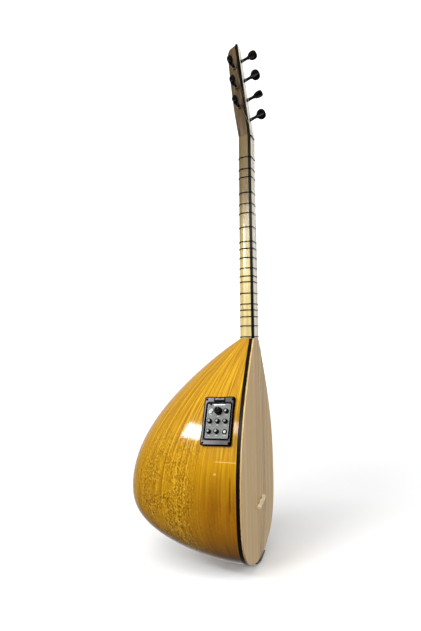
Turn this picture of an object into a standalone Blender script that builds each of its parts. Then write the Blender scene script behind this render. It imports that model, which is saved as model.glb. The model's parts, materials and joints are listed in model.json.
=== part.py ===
"""Short-neck baglama with a side preamp, one object for each piece of the instrument.

The instrument stands upright on its tail. +Z runs up the neck, the soundboard faces -Y,
the bowl swells towards +Y, and the preamp and the side pegs are on the -X side.
X = 0 is the middle plane, Y = 0 is the front of the soundboard and of the fingerboard,
and Z = 0 is the flat underside of the string holder. All sizes are in metres.
"""

import math

import bmesh
import bpy
import numpy as np
from mathutils import Matrix, Vector
from mathutils.geometry import interpolate_bezier

# Gap between pieces that touch
FIT = 0.0003

# Strings and frets
SCALE_LENGTH = 0.670
FRET_CENTS = (102, 163, 208, 294, 359, 415, 504, 600, 648, 713, 790, 852, 898, 992, 1086, 1141, 1204, 1294, 1408)
CENTS_PER_OCTAVE = 1200
LAST_FRET_RISE = 0.0018
FRET_WIDTH = 0.0020
FRET_THICKNESS = 0.0008

# Bowl
BODY_LENGTH = 0.4097
BODY_WIDTH = 0.2644
BODY_DEPTH = 0.2433
WIDEST_RISE = 0.1240
DEEPEST_RISE = 0.1301
BOWL_ROUNDNESS = 2.18
SHOULDER_SLOPE = 0.772
KEEL_SLOPE = 1.69
BOWL_WALL = 0.0045
TAIL_BLOCK = 0.015
NECK_BLOCK = 0.050
SOUND_HOLE_RADIUS = 0.008
SOUND_HOLE_BACK = 0.031

# Soundboard, rim band, string holder and bridge
SOUNDBOARD_THICKNESS = 0.0028
RIM_BAND_HEIGHT = 0.0060
RIM_BAND_THICKNESS = 0.0020
HOLDER_WALL = 0.0020
HOLDER_FOOT_CUT = 0.0010
HOLDER_PROUD = 0.0012
HOLDER_BACK = 0.0098
HOLDER_RISE = 0.0155
HOLDER_BOW = 0.0015
HOLDER_HOLE_RADIUS = 0.0009
HOLDER_HOLE_DEPTH = 0.0024
HOLDER_HOLE_RISE = 0.0070
BRIDGE_LENGTH = 0.047
BRIDGE_HEIGHT = 0.0072
BRIDGE_SETBACK = 0.0075
BRIDGE_SLANT = math.radians(12)
BRIDGE_THICKNESS = 0.0042
BRIDGE_TOP_THICKNESS = 0.0022
BRIDGE_FOOT = 0.0090
BRIDGE_ARCH_HEIGHT = 0.0022

# Neck
NECK_WIDTH_BODY = 0.0342
NECK_WIDTH_NUT = 0.0290
NECK_DEPTH_BODY = 0.0302
NECK_DEPTH_NUT = 0.0256
FINGERBOARD_THICKNESS = 0.0050
BINDING_THICKNESS = 0.0016
NUT_THICKNESS = 0.0036
NUT_RISE = 0.0020

# Headstock
HEAD_LENGTH = 0.175
HEAD_TILT = math.radians(7.2)
HEAD_TOP_WIDTH = 0.0235
HEAD_BELLY_DEPTH = 0.0260
HEAD_TOP_DEPTH = 0.0216
HEAD_BOXINESS = 5.0

# Pegs
PEG_RADIUS = 0.0030
PEG_TIP_RADIUS = 0.0025
PEG_HOLE_CLEARANCE = 0.0006
PEG_TIP_LENGTH = 0.0030
PEG_TIP_PROUD = 0.0004
PEG_SHAFT_LENGTH = 0.0152
PEG_HEAD_LENGTH = 0.0172
PEG_HEAD_WIDTH = 0.0212
PEG_HEAD_THICKNESS = 0.0112
FRONT_PEG_COUNT = 4
FRONT_PEG_FIRST = 0.031
FRONT_PEG_PITCH = 0.038
FRONT_PEG_LEAN = math.radians(14)
FRONT_PEG_TURNS = (0, 88, 8, -12)
SIDE_PEG_COUNT = 3
SIDE_PEG_STEP = 0.58
SIDE_PEG_RISE = 0.17
SIDE_PEG_BACK = 0.02
SIDE_PEG_TURNS = (12, 4, 8)

# Strings, from the -X side to the +X side
STRING_RADII = (0.00018, 0.00011, 0.00018, 0.00011, 0.00018, 0.00011, 0.00011)
COURSES = (2, 2, 3)
COURSE_PITCH_NUT = 0.0086
PAIR_PITCH_NUT = 0.0020
COURSE_PITCH_BRIDGE = 0.0150
PAIR_PITCH_BRIDGE = 0.0028
HOLDER_PITCH = 0.0040
STRING_GAP = 0.0003
COIL_TURNS = 4
COIL_STEPS = 8
COIL_GAP = 0.00045
COIL_RISE = 0.0052

# Preamp, laid on the bowl's side
PREAMP_RISE = 0.2705
PREAMP_BACK = 0.0462
FRAME_WIDTH = 0.0555
FRAME_HEIGHT = 0.0850
FRAME_PROUD = 0.0024
FRAME_CORNER = 0.0040
FRAME_SKIRT = 0.0095
PANEL_WIDTH = 0.0480
PANEL_HEIGHT = 0.0660
PANEL_CORNER = 0.0036
PANEL_PLATE = 0.0030
PANEL_SINK = 0.0006
PANEL_GAP = 0.0008
PIN_RADIUS = 0.0010
PIN_REACH = 0.0008
PIN_CLEARANCE = 0.0005
HOUSING_WIDTH = 0.0430
HOUSING_HEIGHT = 0.0550
HOUSING_DEPTH = 0.0300
HOUSING_FOOT = 0.0030
BATTERY_SIZE = (0.0265, 0.0485, 0.0175)
CONTROL_PITCH_ACROSS = 0.0143
CONTROL_PITCH_UP = 0.0178
CONTROL_MIDDLE = -0.0008
VOLUME_RADIUS = 0.0068
VOLUME_HEIGHT = 0.0080
KNOB_RADIUS = 0.0042
KNOB_HEIGHT = 0.0060
SHAFT_RADIUS = 0.0015
SHAFT_LENGTH = 0.0020
SHAFT_CLEARANCE = 0.0005
BUTTON_PROUD = 0.0014
BUTTON_TRAVEL = 0.0010
BUTTON_STEM = 0.0024
BUTTON_CLEARANCE = 0.0003
DISPLAY_WIDTH = 0.0214
DISPLAY_HEIGHT = 0.0042
DISPLAY_THICKNESS = 0.0009
DISPLAY_RISE = 0.0297
LATCH_WIDTH = 0.0206
LATCH_THICKNESS = 0.0017
LATCH_POCKET = 0.0018
LATCH_GAP = 0.0004

# Output jack in the tail
JACK_BACK = 0.066
JACK_BARREL_RADIUS = 0.0056
JACK_BORE_RADIUS = 0.0036
JACK_FLANGE_RADIUS = 0.0090
JACK_LENGTH = 0.024

# Facets
CURVE_SAMPLES = 60
BODY_STEPS = 28
BOWL_SEGMENTS = 22
CAVITY_STEPS = 12
CAVITY_SEGMENTS = 14
NECK_SEGMENTS = 10
PEG_SIDES = 12
ROUND_SIDES = 16
CORNER_STEPS = 3
CUT_MARGIN = 0.001

# Heights and planes that follow from the sizes above
BODY_BOTTOM = HOLDER_WALL + FIT - HOLDER_FOOT_CUT
BODY_TOP = BODY_BOTTOM + BODY_LENGTH
RIM = SOUNDBOARD_THICKNESS + FIT
LAST_FRET = BODY_TOP + LAST_FRET_RISE + FRET_WIDTH / 2
NUT = LAST_FRET + SCALE_LENGTH * (1 - 2 ** (-FRET_CENTS[-1] / CENTS_PER_OCTAVE))
BRIDGE = NUT - SCALE_LENGTH - BRIDGE_SETBACK
NECK_FACE = FINGERBOARD_THICKNESS + FIT
HEAD_START = NUT + NUT_THICKNESS + FIT
HEAD_TOP = HEAD_START + HEAD_LENGTH
BODY_NECK_HALF = NECK_WIDTH_BODY / 2 + FIT
BODY_NECK_DEPTH = NECK_DEPTH_BODY - RIM
PANEL_FACE = FRAME_PROUD - PANEL_SINK
PANEL_BACK = PANEL_FACE - PANEL_PLATE
HINGE_UP = -PANEL_HEIGHT / 2 + PANEL_PLATE / 2
HINGE_OUT = PANEL_FACE - PANEL_PLATE / 2


def clear_scene():
    for item in list(bpy.data.objects):
        bpy.data.objects.remove(item)


def collection(name):
    made = bpy.data.collections.new(name)
    bpy.context.scene.collection.children.link(made)
    return made


clear_scene()
PARTS = collection("short_neck_baglama")
CUTTERS = collection("cutters")
CUTTERS.hide_render = True


def material(name, colour, roughness, metallic=0.0):
    made = bpy.data.materials.new(name)
    made.use_nodes = True
    shader = made.node_tree.nodes["Principled BSDF"]
    shader.inputs["Base Color"].default_value = (*colour, 1.0)
    shader.inputs["Roughness"].default_value = roughness
    shader.inputs["Metallic"].default_value = metallic
    return made


BOWL_WOOD = material("bowl_wood", (0.56, 0.32, 0.05), 0.22)
SPRUCE = material("spruce", (0.46, 0.34, 0.21), 0.38)
BLACK_WOOD = material("black_wood", (0.012, 0.010, 0.009), 0.30)
NECK_WOOD = material("neck_wood", (0.70, 0.55, 0.27), 0.25)
HEAD_WOOD = material("head_wood", (0.42, 0.33, 0.22), 0.30)
FACE_WOOD = material("face_wood", (0.60, 0.52, 0.40), 0.30)
BRIDGE_WOOD = material("bridge_wood", (0.78, 0.66, 0.45), 0.45)
PEG_BLACK = material("peg_black", (0.010, 0.010, 0.011), 0.18)
FRET_LINE = material("fret_line", (0.030, 0.022, 0.016), 0.45)
STEEL = material("steel", (0.62, 0.61, 0.58), 0.30, 1.0)
DARK_PLASTIC = material("dark_plastic", (0.045, 0.045, 0.052), 0.40)
GREY_PLASTIC = material("grey_plastic", (0.24, 0.25, 0.25), 0.42)
BLACK_PLASTIC = material("black_plastic", (0.012, 0.012, 0.012), 0.28)
WHITE_PLASTIC = material("white_plastic", (0.80, 0.80, 0.78), 0.35)
BATTERY_SKIN = material("battery_skin", (0.10, 0.10, 0.11), 0.35)


def new_object(name, mesh, look, group=PARTS):
    made = bpy.data.objects.new(name, mesh)
    if look:
        mesh.materials.append(look)
    group.objects.link(made)
    if group is CUTTERS:
        made.hide_render = True
        made.display_type = "WIRE"
    return made


def from_bmesh(name, shape, look, group=PARTS, smooth_below=30):
    bmesh.ops.recalc_face_normals(shape, faces=shape.faces)
    mesh = bpy.data.meshes.new(name)
    shape.to_mesh(mesh)
    shape.free()
    mesh.shade_smooth()
    mesh.set_sharp_from_angle(angle=math.radians(smooth_below))
    return new_object(name, mesh, look, group)


def loft(name, rings, look, group=PARTS, closed_loop=False):
    """A skin over rings of points. A ring of one point is a pole. The ends are capped unless they join up."""
    shape = bmesh.new()
    rows = [[shape.verts.new(point) for point in ring] for ring in rings]
    pairs = list(zip(rows, rows[1:]))
    if closed_loop:
        pairs.append((rows[-1], rows[0]))
    for low, high in pairs:
        count = max(len(low), len(high))
        for i in range(count):
            after = (i + 1) % count
            if len(low) == 1:
                shape.faces.new((low[0], high[after], high[i]))
            else:
                shape.faces.new((low[i], low[after], high[after], high[i]))
    if not closed_loop:
        for row in (rows[0], rows[-1]):
            if len(row) > 2:
                shape.faces.new(row)
    return from_bmesh(name, shape, look, group)


def prism(name, outline, low, high, look, matrix=Matrix(), group=PARTS, chamfer=0.0):
    """An outline in the matrix's XY plane, drawn along its Z. A chamfer scales the last step inwards."""
    levels = [(low, 0.0), (high - chamfer, 0.0)]
    if chamfer:
        levels.append((high, chamfer))
    reach = max(math.hypot(*point) for point in outline)
    rings = []
    for level, step in levels:
        share = 1 - step / reach
        rings.append([matrix @ Vector((u * share, v * share, level)) for u, v in outline])
    return loft(name, rings, look, group)


def box(name, low, high, look, matrix=Matrix(), group=PARTS):
    outline = [(low[0], low[1]), (high[0], low[1]), (high[0], high[1]), (low[0], high[1])]
    return prism(name, outline, low[2], high[2], look, matrix, group)


def circle(radius, sides=ROUND_SIDES, centre=(0.0, 0.0)):
    angles = [2 * math.pi * i / sides for i in range(sides)]
    return [(centre[0] + radius * math.cos(a), centre[1] + radius * math.sin(a)) for a in angles]


def rounded_rectangle(width, height, corner, centre=(0.0, 0.0)):
    points = []
    for quarter, (side, end) in enumerate(((1, 1), (-1, 1), (-1, -1), (1, -1))):
        for step in range(CORNER_STEPS + 1):
            angle = math.pi / 2 * (quarter + step / CORNER_STEPS)
            x = centre[0] + side * (width / 2 - corner) + corner * math.cos(angle)
            y = centre[1] + end * (height / 2 - corner) + corner * math.sin(angle)
            points.append((x, y))
    return points


def turned(name, profile, look, matrix, sides, group=PARTS):
    """A profile of (radius, height) points, outer side from top to bottom, turned about the matrix's Z."""
    mesh = bpy.data.meshes.new(name)
    edges = [(i, i + 1) for i in range(len(profile) - 1)]
    mesh.from_pydata([(radius, 0.0, height) for radius, height in profile], edges, [])
    made = new_object(name, mesh, look, group)
    made.matrix_world = matrix
    screw = made.modifiers.new("turn", "SCREW")
    screw.steps = sides
    screw.render_steps = sides
    screw.use_merge_vertices = True
    screw.merge_threshold = 0.00001
    screw.use_smooth_shade = True
    return made


def cut(target, cutter, operation="DIFFERENCE"):
    step = target.modifiers.new(cutter.name, "BOOLEAN")
    step.operation = operation
    step.object = cutter


def joined(name, pieces):
    """One cutter from several that don't touch."""
    shape = bmesh.new()
    for piece in pieces:
        shape.from_mesh(piece.data)
        bpy.data.objects.remove(piece)
    return from_bmesh(name, shape, None, CUTTERS)


def put_origin(item, point):
    """Moves the object's origin to a point on its joint's axis and leaves the shape where it is."""
    item.data.transform(Matrix.Translation(-Vector(point)))
    item.location = point


def frame_at(origin, x_axis, y_axis, z_axis):
    made = Matrix((x_axis, y_axis, z_axis)).transposed().to_4x4()
    made.translation = origin
    return made


def mix(start, end, share):
    return start + (end - start) * share


# Outline and keel of the bowl

def bezier_table(arcs):
    """Samples of joined Bezier arcs as rows of (distance from the middle, rise above the tail)."""
    points = []
    for arc in arcs:
        samples = interpolate_bezier(*[Vector(point) for point in arc], CURVE_SAMPLES)
        points += samples[1:] if points else samples
    return np.array([tuple(point) for point in points])


def teardrop(peak, peak_rise, tail_out, tail_up, tail_pull, shoulder_pull, end, end_pull, end_slope):
    """Half of a teardrop: tail point, fullest point, then a shoulder running into the neck."""
    above = BODY_LENGTH - peak_rise
    tail = ((0, 0), (tail_out * peak, tail_up * peak_rise), (peak, tail_pull * peak_rise), (peak, peak_rise))
    drop = end_pull * above
    top = (
        (peak, peak_rise),
        (peak, peak_rise + shoulder_pull * above),
        (end + drop * end_slope, BODY_LENGTH - drop),
        (end, BODY_LENGTH),
    )
    return bezier_table((tail, top))


OUTLINE = teardrop(BODY_WIDTH / 2, WIDEST_RISE, 0.664, 0.142, 0.234, 0.232, BODY_NECK_HALF, 0.518, SHOULDER_SLOPE)
KEEL = teardrop(BODY_DEPTH, DEEPEST_RISE, 0.860, 0.309, 0.599, 0.487, BODY_NECK_DEPTH, 0.054, KEEL_SLOPE)


def inset(table, amount):
    """The curve moved inwards along its normals."""
    steps = np.gradient(table, axis=0)
    steps /= np.linalg.norm(steps, axis=1)[:, None]
    inwards = np.stack([-steps[:, 1], steps[:, 0]], axis=1)
    return table + inwards * amount


def across(table, rise):
    return float(np.interp(rise, table[:, 1], table[:, 0]))


def arch(half_width, depth, roundness, segments):
    """Points of a rounded arch from the -X side over the back to the +X side, as (x, distance back)."""
    points = []
    for i in range(segments + 1):
        angle = math.pi * i / segments
        c = math.cos(angle)
        x = -math.copysign(abs(c) ** (2 / roundness), c) * half_width
        back = abs(math.sin(angle)) ** (2 / roundness) * depth
        points.append((x, back))
    return points


def bowl_ring(rise, inset_by, segments):
    half = across(inset(OUTLINE, inset_by), rise)
    depth = across(inset(KEEL, inset_by), rise)
    return [(x, RIM + back, BODY_BOTTOM + rise) for x, back in arch(half, depth, BOWL_ROUNDNESS, segments)]


STATIONS = [BODY_LENGTH * (i / BODY_STEPS) ** 2 for i in range(1, BODY_STEPS + 1)]


def bowl_skin(name, grow, look, group=PARTS):
    pole = [(0.0, RIM, BODY_BOTTOM)]
    rings = [pole] + [bowl_ring(rise, -grow, BOWL_SEGMENTS) for rise in STATIONS]
    return loft(name, rings, look, group)


def cavity_cutter():
    rings = []
    for i in range(CAVITY_STEPS + 1):
        rise = mix(TAIL_BLOCK, BODY_LENGTH - NECK_BLOCK, (i / CAVITY_STEPS) ** 1.4)
        ring = bowl_ring(rise, BOWL_WALL, CAVITY_SEGMENTS)
        front = RIM - CUT_MARGIN
        first, last = ring[0], ring[-1]
        rings.append([(first[0], front, first[2])] + ring + [(last[0], front, last[2])])
    return loft("cavity_cutter", rings, None, CUTTERS)


def outline_path(limit=BODY_LENGTH):
    """The outline from the neck's +X side down round the tail and up the -X side, as (x, z)."""
    side = [(across(OUTLINE, rise), BODY_BOTTOM + rise) for rise in STATIONS if rise <= limit + FIT]
    return side[::-1] + [(0.0, BODY_BOTTOM)] + [(-x, z) for x, z in side]


def moved_path(path, inwards):
    """The path with every span moved inwards by the same amount, its two ends kept at their own height."""
    points = [Vector(point) for point in path]
    runs = [(high - low).normalized() for low, high in zip(points, points[1:])]
    normals = [Vector((run.y, -run.x)) for run in runs]
    moved = [points[0] + Vector((inwards / normals[0].x, 0))]
    for point, before, after in zip(points[1:], normals, normals[1:]):
        moved.append(point + (before + after) * inwards / (1 + before.dot(after)))
    moved.append(points[-1] + Vector((inwards / normals[-1].x, 0)))
    return moved


def edge_strip(name, path, outer, inner, front, back, look, group=PARTS, overrun=0.0):
    """A strip that follows the outline, between two insets and two depths. An overrun lengthens both ends."""
    outside = moved_path(path, outer)
    inside = moved_path(path, inner)
    if overrun:
        lift = Vector((0, overrun))
        outside = [outside[0] + lift] + outside + [outside[-1] + lift]
        inside = [inside[0] + lift] + inside + [inside[-1] + lift]
    rings = []
    for out, into in zip(outside, inside):
        corners = ((out, front), (out, back), (into, back), (into, front))
        rings.append([(point.x, y, point.y) for point, y in corners])
    return loft(name, rings, look, group)


# Preamp frame of reference: local X runs to the front of the bowl, Y up its side, Z out of it

def bowl_side(back, rise):
    """The point of the bowl's -X side at this distance behind the rim and this rise."""
    share = min(back / across(KEEL, rise), 1.0)
    half = across(OUTLINE, rise) * (1 - share**BOWL_ROUNDNESS) ** (1 / BOWL_ROUNDNESS)
    return Vector((-half, RIM + back, BODY_BOTTOM + rise))


def preamp_frame_of_reference():
    step = 0.012
    back = PREAMP_BACK - RIM
    up = (bowl_side(back, PREAMP_RISE + step) - bowl_side(back, PREAMP_RISE - step)).normalized()
    front = (bowl_side(back - step, PREAMP_RISE) - bowl_side(back + step, PREAMP_RISE)).normalized()
    out = front.cross(up).normalized()
    front = up.cross(out)
    return frame_at(bowl_side(back, PREAMP_RISE), front, up, out)


PREAMP = preamp_frame_of_reference()


def on_preamp(x, y, z):
    return PREAMP @ Matrix.Translation((x, y, z))


# Keel frame of reference at the output jack: local Z runs into the bowl, square to its wall

def jack_frame_of_reference():
    step = 0.004
    rises = np.interp((JACK_BACK - step, JACK_BACK, JACK_BACK + step), KEEL[:, 0][: CURVE_SAMPLES], KEEL[:, 1][: CURVE_SAMPLES])
    origin = Vector((0.0, RIM + JACK_BACK, BODY_BOTTOM + rises[1]))
    along = Vector((0.0, 2 * step, rises[2] - rises[0])).normalized()
    inwards = Vector((1, 0, 0)).cross(along)
    return frame_at(origin, Vector((1, 0, 0)), along, inwards)


JACK = jack_frame_of_reference()


def make_bowl():
    bowl = bowl_skin("bowl", 0.0, BOWL_WOOD)
    rebate = edge_strip(
        "rim_rebate_cutter",
        outline_path(),
        -CUT_MARGIN,
        RIM_BAND_THICKNESS + FIT,
        RIM - CUT_MARGIN,
        RIM + RIM_BAND_HEIGHT + FIT,
        None,
        CUTTERS,
        overrun=CUT_MARGIN,
    )
    cut(bowl, rebate)
    cut(bowl, cavity_cutter())
    hole = circle(SOUND_HOLE_RADIUS, ROUND_SIDES, (0.0, RIM + SOUND_HOLE_BACK))
    cut(bowl, prism("sound_hole_cutter", hole, -CUT_MARGIN, BODY_BOTTOM + 3 * TAIL_BLOCK, None, Matrix(), CUTTERS))
    barrel = circle(JACK_BARREL_RADIUS + 2 * FIT, ROUND_SIDES)
    cut(bowl, prism("jack_hole_cutter", barrel, -BOWL_WALL, 3 * BOWL_WALL, None, JACK, CUTTERS))
    window = rounded_rectangle(PANEL_WIDTH + 2 * PANEL_GAP, PANEL_HEIGHT + 2 * PANEL_GAP, PANEL_CORNER + PANEL_GAP)
    depth = 4 * BOWL_WALL
    cut(bowl, prism("preamp_window_cutter", window, -depth, depth, None, PREAMP, CUTTERS))
    return bowl


def holder_top(grow=0.0):
    """The line where the string holder meets the soundboard, bowed down in the middle, as (x, z)."""
    path = moved_path(outline_path(HOLDER_RISE), -(FIT + HOLDER_WALL))
    end_x, end_z = path[0]
    points = []
    for i in range(9):
        x = mix(-end_x, end_x, i / 8)
        points.append((x, end_z + grow - HOLDER_BOW * (1 - (x / end_x) ** 2)))
    return points


def make_soundboard():
    outline = outline_path()
    rings = [[(x, y, z) for x, z in outline] for y in (SOUNDBOARD_THICKNESS, 0.0)]
    board = loft("soundboard", rings, SPRUCE)
    line = holder_top(FIT)
    low = -BODY_WIDTH
    ends = [(BODY_WIDTH, line[-1][1]), (BODY_WIDTH, low), (-BODY_WIDTH, low), (-BODY_WIDTH, line[0][1])]
    rings = [[(x, y, z) for x, z in line + ends] for y in (-CUT_MARGIN, SOUNDBOARD_THICKNESS + CUT_MARGIN)]
    cut(board, loft("holder_seat_cutter", rings, None, CUTTERS))
    return board


def make_rim_band():
    back = RIM + RIM_BAND_HEIGHT
    return edge_strip("rim_band", outline_path(), 0.0, RIM_BAND_THICKNESS, RIM, back, BLACK_WOOD)


def string_columns(course_pitch, pair_pitch):
    """X of every string where it crosses a nut or bridge with these pitches."""
    columns = []
    for course, count in enumerate(COURSES):
        middle = (course - (len(COURSES) - 1) / 2) * course_pitch
        for i in range(count):
            columns.append(middle + (i - (count - 1) / 2) * pair_pitch)
    return columns


NUT_COLUMNS = string_columns(COURSE_PITCH_NUT, PAIR_PITCH_NUT)
BRIDGE_COLUMNS = string_columns(COURSE_PITCH_BRIDGE, PAIR_PITCH_BRIDGE)
HOLDER_COLUMNS = [(i - (len(STRING_RADII) - 1) / 2) * HOLDER_PITCH for i in range(len(STRING_RADII))]


def make_string_holder():
    """A cap over the tip of the soundboard and a flange behind it that wraps the tail."""
    path = outline_path(HOLDER_RISE)
    outline = list(moved_path(path, -(FIT + HOLDER_WALL))) + holder_top()[1:-1]
    rings = [[(x, y, z) for x, z in outline] for y in (SOUNDBOARD_THICKNESS, -HOLDER_PROUD)]
    holder = loft("string_holder", rings, BLACK_WOOD)
    front = SOUNDBOARD_THICKNESS / 2
    cut(holder, edge_strip("flange", path, -(FIT + HOLDER_WALL), -FIT, front, HOLDER_BACK, None, CUTTERS), "UNION")
    low = (-BODY_WIDTH, -BODY_WIDTH, -BODY_WIDTH)
    high = (BODY_WIDTH, BODY_WIDTH, 0.0)
    cut(holder, box("foot_cutter", low, high, None, Matrix(), CUTTERS))
    holes = []
    for x in HOLDER_COLUMNS:
        outline = circle(HOLDER_HOLE_RADIUS, 8)
        holes.append(prism("hole", outline, -CUT_MARGIN, HOLDER_HOLE_DEPTH, None, holder_hole_frame(x), CUTTERS))
    cut(holder, joined("string_holes_cutter", holes))
    return holder


def holder_hole_frame(x):
    """Local Z runs from the cap's face into a string hole."""
    origin = Vector((x, -HOLDER_PROUD, BODY_BOTTOM + HOLDER_HOLE_RISE))
    return frame_at(origin, Vector((1, 0, 0)), Vector((0, 0, -1)), Vector((0, 1, 0)))


def bridge_height_at(x):
    """Height of the slanted bridge's middle line at this X."""
    return BRIDGE + x * math.tan(BRIDGE_SLANT)


def make_bridge():
    """A slanted bar on three feet, its ends sloping and its top edge thinner than its feet."""
    half = BRIDGE_LENGTH / 2
    base = -FIT
    top = base - BRIDGE_HEIGHT
    lower = base - 0.35 * BRIDGE_HEIGHT
    outline = [(-half, base), (-half, lower), (-0.90 * half, top), (0.90 * half, top), (half, lower), (half, base)]
    arches = []
    span = (half - 1.5 * BRIDGE_FOOT) / 2
    for side in (1, -1):
        middle = side * (BRIDGE_FOOT / 2 + span)
        for step in range(7):
            angle = math.pi * step / 6
            arches.append((middle + side * span * math.cos(angle), base - BRIDGE_ARCH_HEIGHT * math.sin(angle)))
    outline += arches[:7] + arches[7:][::-1]
    rings = []
    for side in (-1, 1):
        ring = []
        for x, y in outline:
            height = (base - y) / BRIDGE_HEIGHT
            thickness = mix(BRIDGE_THICKNESS, BRIDGE_TOP_THICKNESS, height)
            ring.append((x, y, bridge_height_at(x) + side * thickness / 2))
        rings.append(ring)
    return loft("bridge", rings, BRIDGE_WOOD)


# Neck and headstock

def neck_share(z):
    return (z - BODY_TOP) / (HEAD_START - BODY_TOP)


def neck_half(z):
    return mix(NECK_WIDTH_BODY, NECK_WIDTH_NUT, neck_share(z)) / 2


def neck_depth(z):
    return mix(NECK_DEPTH_BODY, NECK_DEPTH_NUT, neck_share(z))


def head_share(z):
    return (z - HEAD_START) / HEAD_LENGTH


def head_half(z):
    return mix(NECK_WIDTH_NUT, HEAD_TOP_WIDTH, head_share(z)) / 2


def head_face(z):
    return max(z - HEAD_START, 0.0) * math.tan(HEAD_TILT)


def head_depth(z):
    shares = (0.0, 0.30, 0.62, 1.0)
    belly = mix(HEAD_BELLY_DEPTH, HEAD_TOP_DEPTH, 0.22)
    return float(np.interp(head_share(z), shares, (NECK_DEPTH_NUT, HEAD_BELLY_DEPTH, belly, HEAD_TOP_DEPTH)))


def neck_ring(z):
    points = arch(neck_half(z), neck_depth(z) - NECK_FACE, BOWL_ROUNDNESS, NECK_SEGMENTS)
    return [(x, NECK_FACE + back, z) for x, back in points]


def make_neck():
    low = BODY_TOP + FIT
    high = HEAD_START - FIT
    rings = [neck_ring(mix(low, high, i / 5)) for i in range(6)]
    return loft("neck", rings, NECK_WOOD)


def head_ring(z, boxiness, slope, depth_share):
    """A cross-section with a step at each front corner for the bindings. Slope lowers its back."""
    half = head_half(z)
    face = head_face(z)
    step = FINGERBOARD_THICKNESS + FIT
    inner = half - BINDING_THICKNESS - FIT
    depth = head_depth(z) * depth_share - step
    points = [(-inner, 0.0), (-inner, step)]
    points += [(x, step + back) for x, back in arch(half, depth, boxiness, NECK_SEGMENTS)]
    points += [(inner, step), (inner, 0.0)]
    return [(x, face + back, z - back * slope) for x, back in points]


def make_headstock():
    low = HEAD_START
    stages = (
        (0.0, BOWL_ROUNDNESS, 0.0, 1.0),
        (0.08, 2.8, 0.0, 1.0),
        (0.20, 4.0, 0.0, 1.0),
        (0.34, HEAD_BOXINESS, 0.0, 1.0),
        (0.62, HEAD_BOXINESS, 0.0, 1.0),
        (0.88, HEAD_BOXINESS, 0.12, 1.0),
        (0.955, HEAD_BOXINESS, 0.36, 0.97),
        (1.0, HEAD_BOXINESS, 0.62, 0.84),
    )
    rings = [head_ring(mix(low, HEAD_TOP, share), box_, slope, deep) for share, box_, slope, deep in stages]
    head = loft("headstock", rings, HEAD_WOOD)
    holes = []
    for matrix, length in peg_places():
        holes.append(
            prism(
                "hole",
                circle(PEG_RADIUS + PEG_HOLE_CLEARANCE, PEG_SIDES),
                -length - 3 * PEG_TIP_LENGTH,
                0.4 * PEG_SHAFT_LENGTH,
                None,
                matrix,
                CUTTERS,
            )
        )
    cut(head, joined("peg_holes_cutter", holes))
    return head


def make_fingerboard():
    rings = []
    for z in (BODY_TOP + FIT, NUT - FIT):
        half = neck_half(z) - BINDING_THICKNESS - FIT
        rings.append([(-half, 0, z), (half, 0, z), (half, FINGERBOARD_THICKNESS, z), (-half, FINGERBOARD_THICKNESS, z)])
    return loft("fingerboard", rings, FACE_WOOD)


def make_binding(name, side):
    """A strip along one front edge of the neck and headstock, bent back where the head starts."""
    rings = []
    for z in (BODY_TOP + FIT, mix(BODY_TOP, NUT, 0.5), HEAD_START, mix(HEAD_START, HEAD_TOP, 0.5), HEAD_TOP):
        outer = neck_half(z) if z <= HEAD_START else head_half(z)
        inner = outer - BINDING_THICKNESS
        front = head_face(z)
        back = front + FINGERBOARD_THICKNESS
        low = z - (0.3 * FINGERBOARD_THICKNESS if z == HEAD_TOP else 0.0)
        rings.append([(side * outer, front, z), (side * inner, front, z), (side * inner, back, low), (side * outer, back, low)])
    return loft(name, rings, BLACK_WOOD)


def make_nut():
    half = neck_half(NUT) - BINDING_THICKNESS - 2 * FIT
    base = FINGERBOARD_THICKNESS
    high = NUT + NUT_THICKNESS - FIT
    profile = [(base, NUT), (-0.75 * NUT_RISE, NUT), (-NUT_RISE, NUT + 0.3 * NUT_THICKNESS), (-0.6 * NUT_RISE, high), (base, high)]
    rings = [[(x, y, z) for y, z in profile] for x in (-half, half)]
    return loft("nut", rings, BLACK_WOOD)


def fret_height(cents):
    return NUT - SCALE_LENGTH * (1 - 2 ** (-cents / CENTS_PER_OCTAVE))


def fret_ring(z, grow):
    """A loop round the neck and fingerboard, this much larger than they are."""
    half = neck_half(z) + grow
    depth = neck_depth(z) + grow - NECK_FACE
    points = [(x, NECK_FACE + back) for x, back in arch(half, depth, BOWL_ROUNDNESS, NECK_SEGMENTS)]
    return [(-half, -grow)] + points + [(half, -grow)]


def make_fret(number, cents):
    z = fret_height(cents)
    inner = fret_ring(z, FIT)
    outer = fret_ring(z, FIT + FRET_THICKNESS)
    rings = []
    for near, far in zip(inner, outer):
        corners = ((near, -1), (far, -1), (far, 1), (near, 1))
        rings.append([(point[0], point[1], z + side * FRET_WIDTH / 2) for point, side in corners])
    return loft(f"fret_{number:02d}", rings, FRET_LINE, closed_loop=True)


# Pegs

def front_peg_height(number):
    return HEAD_START + FRONT_PEG_FIRST + number * FRONT_PEG_PITCH


def front_peg_frame(number):
    """Local Z runs out of the head's face along the peg, and X lies across the head."""
    z = front_peg_height(number)
    rise = HEAD_TILT + FRONT_PEG_LEAN
    out = Vector((0, -math.cos(rise), math.sin(rise)))
    side = Vector((1, 0, 0))
    return frame_at(Vector((0, head_face(z), z)), side, out.cross(side), out)


def side_peg_frame(number):
    """Local Z runs out of the head's -X side along the peg, halfway through the head's depth."""
    z = front_peg_height(number + SIDE_PEG_STEP)
    middle = head_face(z) + 0.52 * head_depth(z)
    out = Vector((-1, SIDE_PEG_BACK, SIDE_PEG_RISE)).normalized()
    side = Vector((0, 1, 0)) - out * out.y
    side.normalize()
    return frame_at(Vector((-head_half(z), middle, z)), side, out.cross(side), out)


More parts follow.
